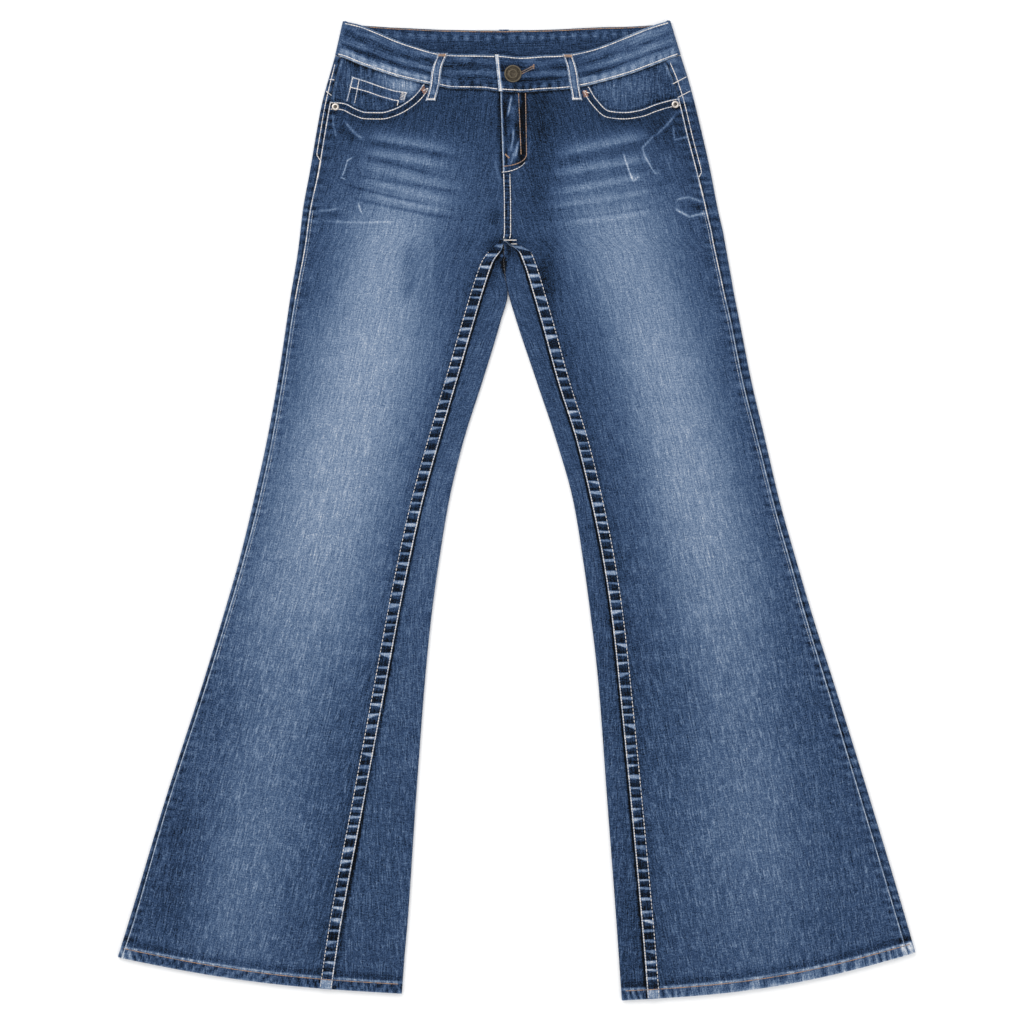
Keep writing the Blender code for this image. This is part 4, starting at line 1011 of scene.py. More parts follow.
def wrap(leg, hip, rows_of):
    """Outer face of the back's cloth, row by row and line by line, with the way it faces (up,
    1, or down, -1). rows_of(leg, kind, t, line) is the height of each row on the line."""
    columns = []
    for kind, t in BACK_LINES:
        if hip and kind.startswith("inner"):
            columns.append(np.full_like(columns[0], np.nan))
            continue

        def line(y):
            return back_line(leg, hip, kind, t, y)
        y = rows_of(leg, kind, t, line)
        x, radius = line(y), pile(y) / 2
        facing = np.full(len(y), -1.0 if kind == "under" else 1.0)
        height = under_lift(x, y) if kind == "under" else front_height(leg, x, y)
        if kind.endswith("fold"):
            reach = radius * (1 - math.sin(math.pi * t))
            x = leg.x(reach if kind == "outer fold" else leg.width(y) - reach, y)
            facing[:] = math.cos(math.pi * t)
            height = radius * (1 + facing)
        if kind == "inner strip":
            seam = leg.inseam(y) + leg.inward * SEAM_GAP
            x = np.where((x - seam) * leg.inward < 0.0, seam, x)
        columns.append(np.stack((x, y, height, facing)))
    return np.stack(columns, -1)


def yoke_rows(leg, kind, t, line):
    y = np.full(len(YOKE_DOWN), 480.0)    # a first guess
    for _ in range(8):
        x = line(y)
        y = mix(band_edge(kind, x) - BAND_GAP, yoke_seam(leg, kind, x), YOKE_DOWN)
    return y


def seat_rows(leg, kind, t, line):
    y = np.full(len(HIP_DOWN), 400.0)    # a first guess
    for _ in range(8):
        y = mix(yoke_seam(leg, kind, line(y)) - SEAM_GAP, HIP_END_Y, HIP_DOWN)
    return np.concatenate((y, SEAT_DOWN))


def leg_rows(leg, kind, t, line):
    """The rows of the leg, which rise to the crotch's fold at its inner side."""
    share = {"under": ease((t - 0.93) / 0.07), "inner strip": 1 - t, "inner fold": 1.0}
    raised = (CROTCH_FOLD_Y - CROTCH_Y) * (1 - LEG_LEVELS) ** 20
    return leg.row_y(LEG_LEVELS, line) + raised * share.get(kind, 0.0)


def back_form(leg, x, y, facing):
    """Height and wear that the seams and the wash give the back's cloth, with shade painted beside
    the seams and at the crotch.
    """
    upper = ease(0.5 + 0.9 * facing)
    beside = (leg.front_outseam(y) - x) * leg.inward
    out_pucker = pucker(-y + 2.0, OUTSEAM_PITCH, leg.seed + 5)
    height = upper * (0.3 * out_pucker * peak(beside - 5.0, 6.0) - 0.35 * peak(beside, 1.3))
    by_outseam = peak(beside - 5.0, 8.0)
    wear_and_shade = washed(leg, x, y)
    # Beside the outseam the strip is painted dark, as the shadow of the front's edge.
    upper_wear_and_shade = wear_and_shade + 0.34 * out_pucker * by_outseam - 0.3 * peak(beside - 0.6, 1.5)

    below_crotch = ease((CROTCH_Y + 6.0 - y) / 12.0)
    from_in = (x - leg.inseam(y)) * leg.inward - INSEAM_HALF
    in_pucker = pucker(-y, INSEAM_PITCH, leg.seed + 6)
    height += upper * below_crotch * 0.15 * in_pucker * peak(from_in, 8.0)
    # A near-black line of painted shadow along the raised inseam's edge.
    upper_wear_and_shade -= below_crotch * (0.95 * peak(from_in - 0.7, 1.4) + 0.05 * peak(from_in, 9.0))
    upper_wear_and_shade += 0.05 * in_pucker * peak(from_in - 4.0, 8.0)
    upper_wear_and_shade += np.interp(y, STRIP_LEVELS, STRIP_SHADE[leg.side]) * ease(from_in + 7.0)
    # A dark slit of painted shadow where the two inner folds meet below the crotch, and the painted
    # shade of the crotch.
    slit_shadow = ease((y - 254.0) / 14.0) * ease((279.0 - y) / 4.0)
    upper_wear_and_shade += crotch_shade(x, y) - 0.8 * slit_shadow * peak(x - CENTRE_X, 0.8 + 2.2 * slit_shadow)
    upper_wear_and_shade += HIP_SIDE_PALER[leg.side] * ease((y - 442.0) / 12.0)

    # The seat and the backs of the thighs are paled below, where nobody sees them here.
    seat = np.exp(-((x - BACK_POCKETS[leg.side]["x"]) / 75.0) ** 2 - ((y - 330.0) / 120.0) ** 2)
    middle = mix(leg.edge(y), leg.inner(y), 0.5)
    thigh = peak(x - middle, 62.0) * ease((340.0 - y) / 200.0) * ease((y + 330.0) / 330.0)
    under_wear = 0.30 + 0.22 * seat + 0.34 * thigh + 0.06 * mottle(x, y, 31.0, leg.seed + 9)
    wear_and_shade = mix(under_wear, upper_wear_and_shade, upper)
    hem_height, hem_wear_and_shade = hem_form(leg, x, y)
    return height + upper * hem_height, wear_and_shade + hem_wear_and_shade


def back_cloth(name, leg, grid, along, node, flat, area):
    x, y, height, facing = grid
    relief, wear_and_shade = back_form(leg, x, y, facing)
    points = np.stack((x, y, height + relief), -1)
    grain = grain_grid(points, UNDER_MIDDLE, along[:, None])
    item = leg_cloth(name, leg, points[:, ::-1], wear_and_shade[:, ::-1], grain[:, ::-1], DENIM,
                     (denim, wrong_side))
    fasten(item, "denim", node, flat, area, "floor")


for leg in LEGS:
    back_cloth("yoke_" + leg.side, leg, wrap(leg, True, yoke_rows), -YOKE_DOWN * YOKE_LENGTH,
               "back_yoke_" + leg.side, (0.24, 0.065), 0.0085)
    grid = np.concatenate((wrap(leg, True, seat_rows), wrap(leg, False, leg_rows)), axis=1)
    along = np.concatenate((CROTCH_Y - mix(BACK_TOP_Y, HIP_END_Y, HIP_DOWN), CROTCH_Y - SEAT_DOWN,
                            LEG_LEVELS * LEG_LENGTH))
    back_cloth("back_" + leg.side, leg, grid, along, "back_panel_" + leg.side, (0.36, 1.02), 0.288)


# ---- Inseams and front rise ------------------------------------------------------------------
# Flat-felled seams: each edge wraps the other and is stitched down twice. The thread draws the
# four layers in, so they stand in rungs, which the wash has bared, over dark hollows.

INSEAM_TOP_Y = 297.0
INSEAM_TOP_HALF = 2.5
INSEAM_STEP = 0.95
INSEAM_ACROSS = np.array((-6.75, -6.3, -5.2, -3.6, -1.8, 0.0, 1.8, 3.6, 5.2, 6.3, 6.75))
RISE_TOP_Y = 371.0
RISE_FOOT_Y = 299.0
RISE_HALF = 4.2
RISE_PITCH = 4.6
RISE_CLOTH = 1.0


def rungs(along, across, pitch, seed):
    """1 on the bared rungs of a felled seam and 0 between. Each is a wedge of its own, brightest
    along its upper edge, with a half-worn patch below it."""
    place = along / pitch + 0.28 * wander(along / (1.7 * pitch), seed)
    number = np.floor(place)
    below = place - number
    reach = 0.30 + 0.24 * across * wander(number * 1.7, seed + 1)
    reach = np.maximum(reach + 0.10 * wander(number * 2.3, seed + 2), 0.06)
    rung = ease(below / 0.07) * ease((reach - below) / 0.10 + 0.5)
    rung = rung * (0.80 + 0.20 * wander(number * 5.3, seed + 4))
    patch = (0.12 + 0.12 * wander(number * 3.1, seed + 3)) * ease((0.75 - below) / 0.15)
    return np.maximum(rung, patch * ease(below / 0.09))


def felled(across, rung):
    """Height and wear across a felled seam, from -1 at the front's side to 1 at the back's."""
    height = 0.42 * rung * (1 - across ** 4) - 0.45 * across ** 6
    wear_and_shade = -0.22 + 1.35 * rung * (1 - 0.5 * across ** 6)
    return height, wear_and_shade


def inseam_spread(y):
    """Share of its full width that the inseam has: it narrows to a point at the crotch."""
    return mix(INSEAM_TOP_HALF / INSEAM_HALF, 1.0, ease((INSEAM_TOP_Y - y) / 13.0))


def inseam_rows(leg, offsets):
    """x and y of the inseam, row by row, at these distances from its centre."""
    top = np.arange(INSEAM_TOP_Y, CROTCH_Y, -INSEAM_STEP)[:, None]
    levels = np.linspace(0.0, 1.0, int(LEG_LENGTH / INSEAM_STEP))[:, None]

    def line(y):
        return leg.inseam(y) + leg.inward * offsets
    y = np.concatenate((top + 0.0 * offsets, leg.row_y(levels, line)))
    return leg.inseam(y) + leg.inward * offsets * inseam_spread(y), y


def inseam_form(leg, x, y, across):
    """Height and wear of the inseam's outer face; across runs from -1 to 1."""
    rung = rungs(-y, across, INSEAM_PITCH, leg.seed + 30) * ease((296.0 - y) / 8.0)
    height, wear_and_shade = felled(across, rung)
    height += front_height(leg, x, y) + SEAM_GAP + INSEAM_CLOTH
    hem_height, hem_wear_and_shade = hem_form(leg, x, y)
    in_hem = ease((HEM_DEPTH - (y - leg.hem_y(leg.across(x, y)))) / 1.5)
    wear_and_shade = mix(wear_and_shade, 0.85 + 0.15 * mottle(x, y, 4.0, 55), in_hem)
    wear_and_shade += 0.9 * (1 - in_hem) * peak(across - 0.97, 0.11) + 0.15 * peak(across + 0.97, 0.1)
    return height + 0.4 * in_hem * (1 - across ** 6), wear_and_shade


for leg in LEGS:
    x, y = inseam_rows(leg, INSEAM_ACROSS[None, :])
    across = np.broadcast_to(INSEAM_ACROSS / INSEAM_HALF, x.shape)
    height, wear_and_shade = inseam_form(leg, x, y, across)
    points = np.stack((x, y, height), -1)
    seam = leg_cloth("inseam_felled_" + leg.side, leg, points, wear_and_shade,
                     grain_grid(points, 5, -y[:, 5:6]), INSEAM_CLOTH, (denim, denim))
    fasten(seam, "seam_denim", "inseam_" + leg.side, (0.0135, 0.84), 0.0110,
           "front_panel_" + leg.side)


def rise_centre(y):
    return RIGHT.inseam(y) + RISE_HALF


y, across = np.meshgrid(np.arange(RISE_TOP_Y, RISE_FOOT_Y, -1.0), np.linspace(-1.0, 1.0, 9),
                        indexing="ij")
x = rise_centre(y) + RISE_HALF * across
height, wear_and_shade = felled(across, 0.5 * rungs(-y, across, RISE_PITCH, 61))
wear_and_shade = 0.7 * wear_and_shade + 0.8 * peak(across + 0.97, 0.15)
rise_seam = plain_cloth("front_rise_felled", x, y, height + pile(y) + SEAM_GAP + RISE_CLOTH, wear_and_shade,
                        RISE_CLOTH, (denim, denim))
fasten(rise_seam, "seam_denim", "front_rise_seam", (0.0105, 0.068), 0.0006, "front_panel_left")


# ---- Waistband -------------------------------------------------------------------------------
# A doubled, curved band from one front edge round the back to the other, pressed and washed so
# that ridges run along it and its lower edge puckers. Its left end laps over and is buttoned.

BAND_CLOTH = 2.4
BAND_PILE = 6.8
BAND_TOP_CORNER = {"right": (-191.0, 537.6), "left": (169.0, 538.3)}
BAND_LOW_CORNER = {"right": (-199.5, 500.2), "left": (180.5, 500.7)}
BAND_ROWS_DOWN = np.linspace(0.0, 1.0, 26)
BAND_WIDTH = 38.0
UNDERLAP_X = 26.0
OVERLAP_END = (-23.5, -19.5)     # x of its slanting end, at the top edge and at the lower one
OVERLAP_WORN = 4.4
OVERLAP_RAMP = (30.0, 46.0)
OVERLAP_RISE = BAND_CLOTH + SEAM_GAP
BUTTON_X = -3.9
BUTTONHOLE = (-7.4, 18.0)
BUTTONHOLE_HALF = 0.6
# Ridges pressed along the band, by their share of the way down it.
BAND_RIDGES = ((0.0, 0.03, -0.7, 0.45), (0.16, 0.09, 0.0, 0.15), (0.30, 0.07, 0.35, 0.0),
               (0.36, 0.08, 0.0, -0.14), (0.53, 0.07, 0.0, 0.24), (0.58, 0.08, 0.4, 0.0),
               (0.67, 0.04, 0.0, -0.22), (0.71, 0.04, -0.3, 0.0), (1.0, 0.03, -0.7, 0.30))


def overlap_rise(x):
    start, end = OVERLAP_RAMP
    return OVERLAP_RISE * (1 - ease((x - start) / (end - start)))


def band_side(leg, v):
    """The side fold of the band at a fraction v down its width."""
    top, low = BAND_TOP_CORNER[leg.side], BAND_LOW_CORNER[leg.side]
    return mix(top[0], low[0], v), mix(top[1], low[1], v)


def band_form(run, v, seed):
    """Height and wear that pressing, seams and wash give the band, run along it and v down."""
    low_pucker = pucker(run, 9.5, seed)
    low = ease((v - 0.72) / 0.1)
    sides = ease((np.abs(run + 10.0) - 45.0) / 60.0)
    down = v * BAND_WIDTH
    height, wear_and_shade = ridges(BAND_RIDGES, v)
    height = height + 0.35 * low * low_pucker + 0.18 * mottle(run, down, 14.0, seed + 2)
    wear_and_shade = wear_and_shade + 0.16 + low * (mix(-0.03, 0.62, sides) + 0.32 * low_pucker)
    wear_and_shade += 0.14 * mottle(run * 0.35, down, 5.0, seed + 3) + 0.06 * mottle(run, down, 7.0, seed + 4)
    return height, wear_and_shade + (0.24 - 0.38 * low) * ease((run - 80.0) / 60.0)


def band_y(side, x, v):
    return mix(band[side + "_top"](x), band[side + "_seam"](x), v)


def band_top_point(x, v, lapped):
    """Outer face of the front of the band."""
    y = band_y("front", x, v)
    height, wear_and_shade = band_form(x, v, 70)
    wear_and_shade = wear_and_shade - 0.04 * peak(x + 10.0, 62.0)
    if lapped:
        from_end = x - mix(*OVERLAP_END, v)
        wear_and_shade += (1.05 + 0.2 * mottle(x, y, 3.0, 73)) * ease((OVERLAP_WORN - from_end) / 1.2)
        # Darker just past the worn end of the overlap, and a shade painted round the button.
        wear_and_shade -= 0.16 * peak(from_end - OVERLAP_WORN - 1.5, 1.5) + 0.12 * peak(x - BUTTON_X, 13.0)
        height = height * (ease(from_end / 3.0) * 0.6 + 0.4) + overlap_rise(x)
    return x, y, BAND_PILE + height, wear_and_shade


def buttonhole_v(x):
    """The buttonhole's line, which climbs away from the button."""
    return 0.57 - 0.0115 * (x - BUTTON_X)


def band_columns(v):
    """Points of one row of the band, from the underlap round the back to the overlap's end."""
    radius = BAND_PILE / 2
    right_x, left_x = band_side(RIGHT, v)[0] + radius, band_side(LEFT, v)[0] - radius
    pieces = [band_top_point(np.linspace(UNDERLAP_X, right_x, 92)[:-1], v, False)]
    for leg in LEGS:
        turn = np.pi * (FOLD if leg is RIGHT else FOLD[::-1])
        side_x, side_y = band_side(leg, v)
        x = side_x + leg.inward * radius * (1 - np.sin(turn))
        fold = (x, side_y + 0.0 * x, radius * (1 + np.cos(turn)), 0.36 + 0.0 * x)
        if leg is LEFT:
            x = np.linspace(right_x, left_x, 122)[1:-1]
            y = band_y("back", x, v)
            tabs = ease(0.5 + 1.6 * pucker(x, 12.0, 85)) * peak(v - 0.21, 0.09)
            wear_and_shade = 0.07 + 0.03 * mottle(x, v * BAND_WIDTH, 9.0, 86) + 0.38 * tabs
            pieces.append((x, y, under_lift(x, y), wear_and_shade))
        pieces.append(fold)
    end_x = mix(*OVERLAP_END, v)
    lapped = np.concatenate((np.linspace(left_x, 20.0, 66)[1:], np.linspace(19.0, end_x, 42)))
    pieces.append(band_top_point(lapped, v, True))
    return np.stack([np.concatenate(values) for values in zip(*pieces)], -1)


band_grid = np.stack([band_columns(v) for v in BAND_ROWS_DOWN])[:, ::-1]
points, wear_and_shade = band_grid[..., :3], band_grid[..., 3]
cell_x = (points[:-1, :-1, 0] + points[1:, 1:, 0]) / 2
cell_v = (BAND_ROWS_DOWN[:-1, None] + BAND_ROWS_DOWN[1:, None]) / 2 + 0.0 * cell_x
in_overlap = np.arange(cell_x.shape[1]) < 40
in_hole = ((cell_x > BUTTONHOLE[0]) & (cell_x < BUTTONHOLE[1]) & in_overlap
           & (np.abs(cell_v - buttonhole_v(cell_x)) * BAND_WIDTH < BUTTONHOLE_HALF))
grain = grain_grid(points, 160, BAND_ROWS_DOWN[:, None] * BAND_WIDTH)[..., ::-1]
waistband = cloth("waistband_cloth", points, wear_and_shade, grain, BAND_CLOTH, (denim, denim), in_hole)
fasten(waistband, "band_denim", "waistband", (0.80, 0.040), 0.0304, "back_yoke_right")


# ---- Belt loops ------------------------------------------------------------------------------
# Narrow folded strips, stitched along both edges and bar-tacked at the top and foot of the band.
# The two in front lean outward. Three more lie below, at the back.

LOOP_CLOTH = 1.2
LOOP_ROUTE_COLUMNS = ("y", "x", "z")
FRONT_LOOPS = {
    "front_right": ((502.5, -80.9, 8.3), (484.6, -87.5, 8.3), (468.0, -89.7, 8.3),
                    (459.0, -92.0, 8.1), (450.0, -94.6, 7.8)),
    "front_left": ((501.5, 55.6, 8.3), (484.6, 61.0, 8.3), (466.0, 63.8, 8.3),
                   (458.0, 65.4, 8.1), (450.6, 66.6, 7.8)),
}
LOOP_BY_END = ((1.5, 1.6, 0.35, 0.0), (4.5, 1.5, -0.25, 0.0), (1.2, 2.0, 0.0, 0.25))
LOOP_BY_SIDE = ((0.95, 0.20, 0.0, 0.45), (0.46, 0.14, 0.0, -0.30))
LOOP_ACROSS = np.linspace(-1.0, 1.0, 11)[None, :]
LOOP_ROWS = 44


def loop_form(x, y, across, ends, seed):
    """Height and wear over a loop, with knobs at its bar-tacked ends (distance ends)."""
    across = across + 0.0 * ends
    edge_pucker = pucker(y, 5.5, seed)
    height, wear_and_shade = ridges(LOOP_BY_END, ends) + ridges(LOOP_BY_SIDE, np.abs(across))
    height += 0.45 * (1 - across ** 4) + 0.15 * edge_pucker * np.abs(across)
    wear_and_shade += 0.54 + 0.16 * mottle(x, y, 4.0, seed + 1)
    return height, wear_and_shade - 0.34 * peak(ends - 5.5, 2.0) * peak(across, 0.8)


def front_loop_point(name, y, across):
    route = FRONT_LOOPS[name]
    line = smooth_curves(LOOP_ROUTE_COLUMNS, route)
    ends = np.minimum(route[0][0] - y, y - route[-1][0])
    relief, wear_and_shade = loop_form(line["x"](y), y, across, ends, 90)
    half = LOOP_WIDTH / 2 * (1 - 0.06 * peak(ends - 12.0, 8.0))
    height = line["z"](y) + relief + 0.5 * ease(ends / 14.0)
    return line["x"](y) + across * half, y, height, wear_and_shade


for name, route in FRONT_LOOPS.items():
    y = np.linspace(route[0][0], route[-1][0], LOOP_ROWS)[:, None] + 0.0 * LOOP_ACROSS
    loop = plain_cloth("loop_" + name, *front_loop_point(name, y, LOOP_ACROSS), LOOP_CLOTH,
                       (denim, denim))
    fasten(loop, "denim", "belt_loop_" + name, (0.011, 0.053), 0.00056, "waistband")

for name, loop_x in BACK_LOOPS.items():
    y = np.linspace(BACK_LOOP_TOP, BACK_LOOP_END, LOOP_ROWS)[:, None] + 0.0 * LOOP_ACROSS
    x = loop_x - LOOP_ACROSS * LOOP_WIDTH / 2 + 0.0 * y
    ends = np.minimum(BACK_LOOP_TOP - y, y - BACK_LOOP_END)
    relief, wear_and_shade = loop_form(x, y, LOOP_ACROSS, ends, 95)
    loop = plain_cloth("loop_" + name, x, y, 0.45 - 0.6 * relief, wear_and_shade, LOOP_CLOTH - 0.3,
                       (denim, denim))
    fasten(loop, "denim", "belt_loop_" + name, (0.011, 0.049), 0.00053, "floor")


# ---- Back pockets ----------------------------------------------------------------------------
# Plain five-sided patches with a doubled hem along the top, sewn on with two rows of thread. The
# photograph hides them, so they have the plain form that such a pocket always has.

POCKET_HEM = 17.0


def pocket_outline(leg, across, down):
    """x and y of a back pocket; across runs from -1 to 1, and down from 0 to 1 at its foot."""
    size = BACK_POCKETS[leg.side]
    half = mix(size["top_half"], size["low_half"], down)
    foot = size["drop"] + size["point"] * (1 - np.abs(across))
    return size["x"] + half * across, size["top"] - foot * down


for leg in LEGS:
    across, down = np.meshgrid(np.linspace(1.0, -1.0, 47), np.linspace(0.0, 1.0, 48))
    x, y = pocket_outline(leg, across, down)
    size = BACK_POCKETS[leg.side]
    side = (1 - np.abs(across)) * size["low_half"]
    drop = size["top"] - y
    edge = np.minimum(side, (1 - down) * size["drop"])
    edge_pucker = pucker(x + y, 9.0, leg.seed + 40)
    wear_and_shade = 0.42 + 0.14 * peak(side, 40.0) * edge_pucker + 0.30 * peak(edge, 1.6)
    wear_and_shade += 0.26 * peak(x - size["x"], 38.0) * peak(drop - 60.0, 50.0)
    wear_and_shade += 0.35 * peak(drop, 1.8) - 0.14 * peak(drop - POCKET_HEM - 3.0, 3.0)
    height = 0.25 * ease(edge / 6.0) - 0.12 * edge_pucker * peak(edge - 6.0, 6.0)
    height += 0.1 - 0.2 * ease((POCKET_HEM - drop) / 2.0)
    pocket = plain_cloth("back_patch_" + leg.side, x, y, np.maximum(height, 0.02), wear_and_shade,
                         DENIM - 0.3, (denim, wrong_side))
    fasten(pocket, "denim", "back_pocket_" + leg.side, (0.126, 0.132), 0.0143, "floor")


# ---- Topstitching ----------------------------------------------------------------------------
# Thick cotton-wrapped thread: ecru on most seams, tan at fly, hem and buttonhole, and copper at
# the pocket corners. Each stitch is a bead, sunk in the cloth, stretched from one solid bead.

PITCH = 3.0                      # between stitches
THREAD_RADIUS = 0.58
UNDER_THREAD = (0.22, 0.3)       # its height and radius on the side that lies on the floor
BEAD_SEGMENTS = 6
BEAD_RINGS = 4


def thread(name, colour, stained):
    """Cotton-wrapped polyester sewing thread, matt, which the wash has stained blue in places."""
    material, tree, shader = new_material(name, {"Roughness": 0.75, "Sheen Weight": 0.3})
    place = add_node(tree, "TexCoord", {}).outputs["Object"]
    stains = add_node(tree, "TexNoise", {
        "Vector": place, "Scale": 1 / (7.0 * MM), "Detail": 2.0})
    ramp = add_node(tree, "ValToRGB", {"Fac": stains}, ((0.36, stained), (0.56, colour)))
    set_inputs(shader, {"Base Color": ramp})
    return material


ecru = thread("cotton_wrapped_thread_ecru", "#ebe4dd", "#b3b8c2")
faded = thread("cotton_wrapped_thread_blue_stained", "#b9c4d2", "#8093ad")
tan = thread("cotton_wrapped_thread_tan", "#a48268", "#726c6e")
copper = thread("cotton_wrapped_thread_copper", "#b57a5c", "#86695f")

deselect()
bpy.ops.mesh.primitive_uv_sphere_add(segments=BEAD_SEGMENTS, ring_count=BEAD_RINGS, radius=1.0)
bead = bpy.context.object
BEAD_POINTS = np.array([vertex.co[:] for vertex in bead.data.vertices])[:, [2, 0, 1]]
BEAD_FACES = [list(polygon.vertices) for polygon in bead.data.polygons]
bead_mesh = bead.data
bpy.data.objects.remove(bead)
bpy.data.meshes.remove(bead_mesh)


def stitched(path, pitch=PITCH, radius=THREAD_RADIUS, shown=1.15):
    """A row of stitches along a path: their ends, their radius, and the share that shows."""
    steps = np.linalg.norm(np.diff(path, axis=0), axis=1)
    run = np.concatenate(([0.0], np.cumsum(steps)))
    places = np.linspace(0.0, run[-1], max(int(round(run[-1] / pitch)), 1) + 1)
    knots = np.stack([np.interp(places, run, path[:, k]) for k in range(3)], -1)
    return knots[:-1], knots[1:], radius, shown


def bar_tack(path, width, pitch=0.62, radius=0.36):
    """Dense stitches that lie across a path, as the machine sews them to hold a seam's end."""
    starts, ends, _, _ = stitched(path, pitch)
    run = ends - starts
    side = np.stack((-run[:, 1], run[:, 0], 0.0 * run[:, 0]), -1)
    side *= width / 2 / np.linalg.norm(side, axis=1, keepdims=True)
    middle = (starts + ends) / 2
    return middle - side, middle + side, radius, 1.0


def sew(name, rows, material):
    """One mesh of all the stitches in these rows."""
    points, faces = [], []
    for starts, ends, radius, shown in rows:
        half = (ends - starts) / 2 * shown
        side = np.stack((-half[:, 1], half[:, 0], 0.0 * half[:, 0]), -1)
        side *= radius / np.linalg.norm(side, axis=1, keepdims=True)
        rise = np.array([0.0, 0.0, radius])
        middle = (starts + ends) / 2
        first = len(points) * len(BEAD_POINTS)
        beads = (middle[:, None] + BEAD_POINTS[:, 0:1] * half[:, None]
                 + BEAD_POINTS[:, 1:2] * side[:, None] + BEAD_POINTS[:, 2:3] * rise)
        points.extend(beads)
        for k in range(len(beads)):
            shift = first + k * len(BEAD_POINTS)
            faces.extend([shift + corner for corner in face] for face in BEAD_FACES)
    mesh = bpy.data.meshes.new(name)
    mesh.from_pydata((np.concatenate(points) * MM).tolist(), [], faces)
    mesh.materials.append(material)
    item = bpy.data.objects.new(name, mesh)
    bpy.context.scene.collection.objects.link(item)
    item.data.shade_smooth()
    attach(item, "root")


def top_height(leg, x, y):
    """Outer face of what is uppermost on a leg: a strip of the back, the front or the inseam."""
    by_inseam = (x - leg.inseam(y)) * leg.inward
    on_front = ((x - leg.front_outseam(y)) * leg.inward > 0.0) & (by_inseam < 0.0)
    strip = front_height(leg, x, y) + back_form(leg, x, y, 1.0)[0]
    height = np.where(on_front, front_form(leg, x, y)[0], strip)
    across = np.clip(by_inseam / INSEAM_HALF, -1.0, 1.0)
    on_seam = (np.abs(by_inseam) < INSEAM_HALF) & (y < CROTCH_Y)
    return np.where(on_seam, inseam_form(leg, x, y, across)[0], height)


def down_leg(leg, seam, off, top, foot=None):
    """A path down the upper side of a leg, off(y) inward of a seam, to the hem or to a foot."""
    def line(y):
        return seam(y) + leg.inward * off(y)
    if foot is None:
        foot = float(leg.row_y(np.array([HEM_SHARE]), line)[0])
    y = np.linspace(top, foot, int((top - foot) / 1.6) + 2)
    return np.stack((line(y), y, top_height(leg, line(y), y) + 0.05), -1)


def flat_path(x, y, z):
    """A path from coordinates of which some may be single numbers."""
    return np.stack(np.broadcast_arrays(x, y, z), -1).astype(float)


def on_front(leg, x, y, lift=0.1):
    """A path on the face of a front."""
    return flat_path(x, y, front_form(leg, x, y)[0] + lift)


def under_row(x, y, lift=0.0):
    """A thin row of stitches on the side that lies on the floor."""
    height, radius = UNDER_THREAD
    return stitched(flat_path(x, y, lift + height), radius=radius)


HEM_SHARE = 0.9985               # how far down a leg the rows along its seams reach
HEM_ROW = 10.3
OUTSEAM_ROW = 0.9
SECOND_ROW = 4.4
SECOND_ROW_TOP = {"right": 490.0, "left": 492.0}
SECOND_ROW_FOOT = {"right": 385.0, "left": 366.0}
FADED_FROM = 232.0               # the outseam's thread is stained blue below this height
INSIDE_ROW = 3.8
INSIDE_ROW_ENDS = (330.0, -164.0)
INSEAM_ROW = 5.9
INSEAM_ROW_TOP = 291.0
INSEAM_OUTER_PITCH = 4.2
YOKE_SIDE_ROWS = {"right": ((473.7, 0.1), (461.5, 0.8)), "left": ((477.0, 0.52), (461.5, 0.52))}

for leg in LEGS:
    outseam, side_foot = leg.front_outseam, SECOND_ROW_FOOT[leg.side]
    sew("stitches_outseam_" + leg.side, [
        stitched(down_leg(leg, outseam, lambda y: OUTSEAM_ROW, FADED_FROM), radius=0.46),
        stitched(down_leg(leg, outseam, lambda y: INSIDE_ROW, *INSIDE_ROW_ENDS), PITCH, 0.30, 1.0),
    ], faded)
    top = leg.mouth(outseam(450.0)) - 1.0
    rows = [
        stitched(down_leg(leg, outseam, lambda y: OUTSEAM_ROW, top, FADED_FROM)),
        stitched(down_leg(leg, outseam,
                          lambda y: SECOND_ROW * (ease((side_foot + 6.0 - y) / 6.0) - 1),
                          SECOND_ROW_TOP[leg.side], side_foot)),
        stitched(down_leg(leg, leg.inseam, lambda y: -INSEAM_ROW * inseam_spread(y),
                          INSEAM_ROW_TOP), INSEAM_OUTER_PITCH, 0.46, 0.80),
        stitched(down_leg(leg, leg.inseam, lambda y: INSEAM_ROW * inseam_spread(y),
                          INSEAM_ROW_TOP), PITCH, 0.62, 0.97)]
    y = np.linspace(side_foot - 1.0, side_foot - 21.0, 14)
    x = outseam(y) + leg.inward * OUTSEAM_ROW
    rows.append(bar_tack(flat_path(x, y, top_height(leg, x, y)), 1.9))
    for y, slope in YOKE_SIDE_ROWS[leg.side]:
        inset = np.linspace(1.2, leg.outseam(y) - 0.6, 8)
        rows.append(stitched(flat_path(leg.x(inset, y), y - slope * inset, pile(y) + 0.1)))
    sew("stitches_leg_" + leg.side, rows, ecru)

    across = np.linspace(0.012, 0.985, 260)
    y = leg.hem_y(across) + HEM_ROW
    x = leg.x(across * leg.width(y), y)
    sew("stitches_hem_" + leg.side, [
        stitched(flat_path(x, y, top_height(leg, x, y) + 0.15)), under_row(x, y)], tan)


def along_mouth(leg, inset):
    """A path along the pocket mouth, this far inside its edge."""
    x = np.linspace(leg.front_outseam(446.0) + leg.inward * 1.5, leg.mouth_end, 160)
    y = front_top(leg, x)
    slope = (front_top(leg, x + 0.5) - front_top(leg, x - 0.5))
    length = np.sqrt(1 + slope ** 2)
    return on_front(leg, x + inset * slope / length, y - inset / length)


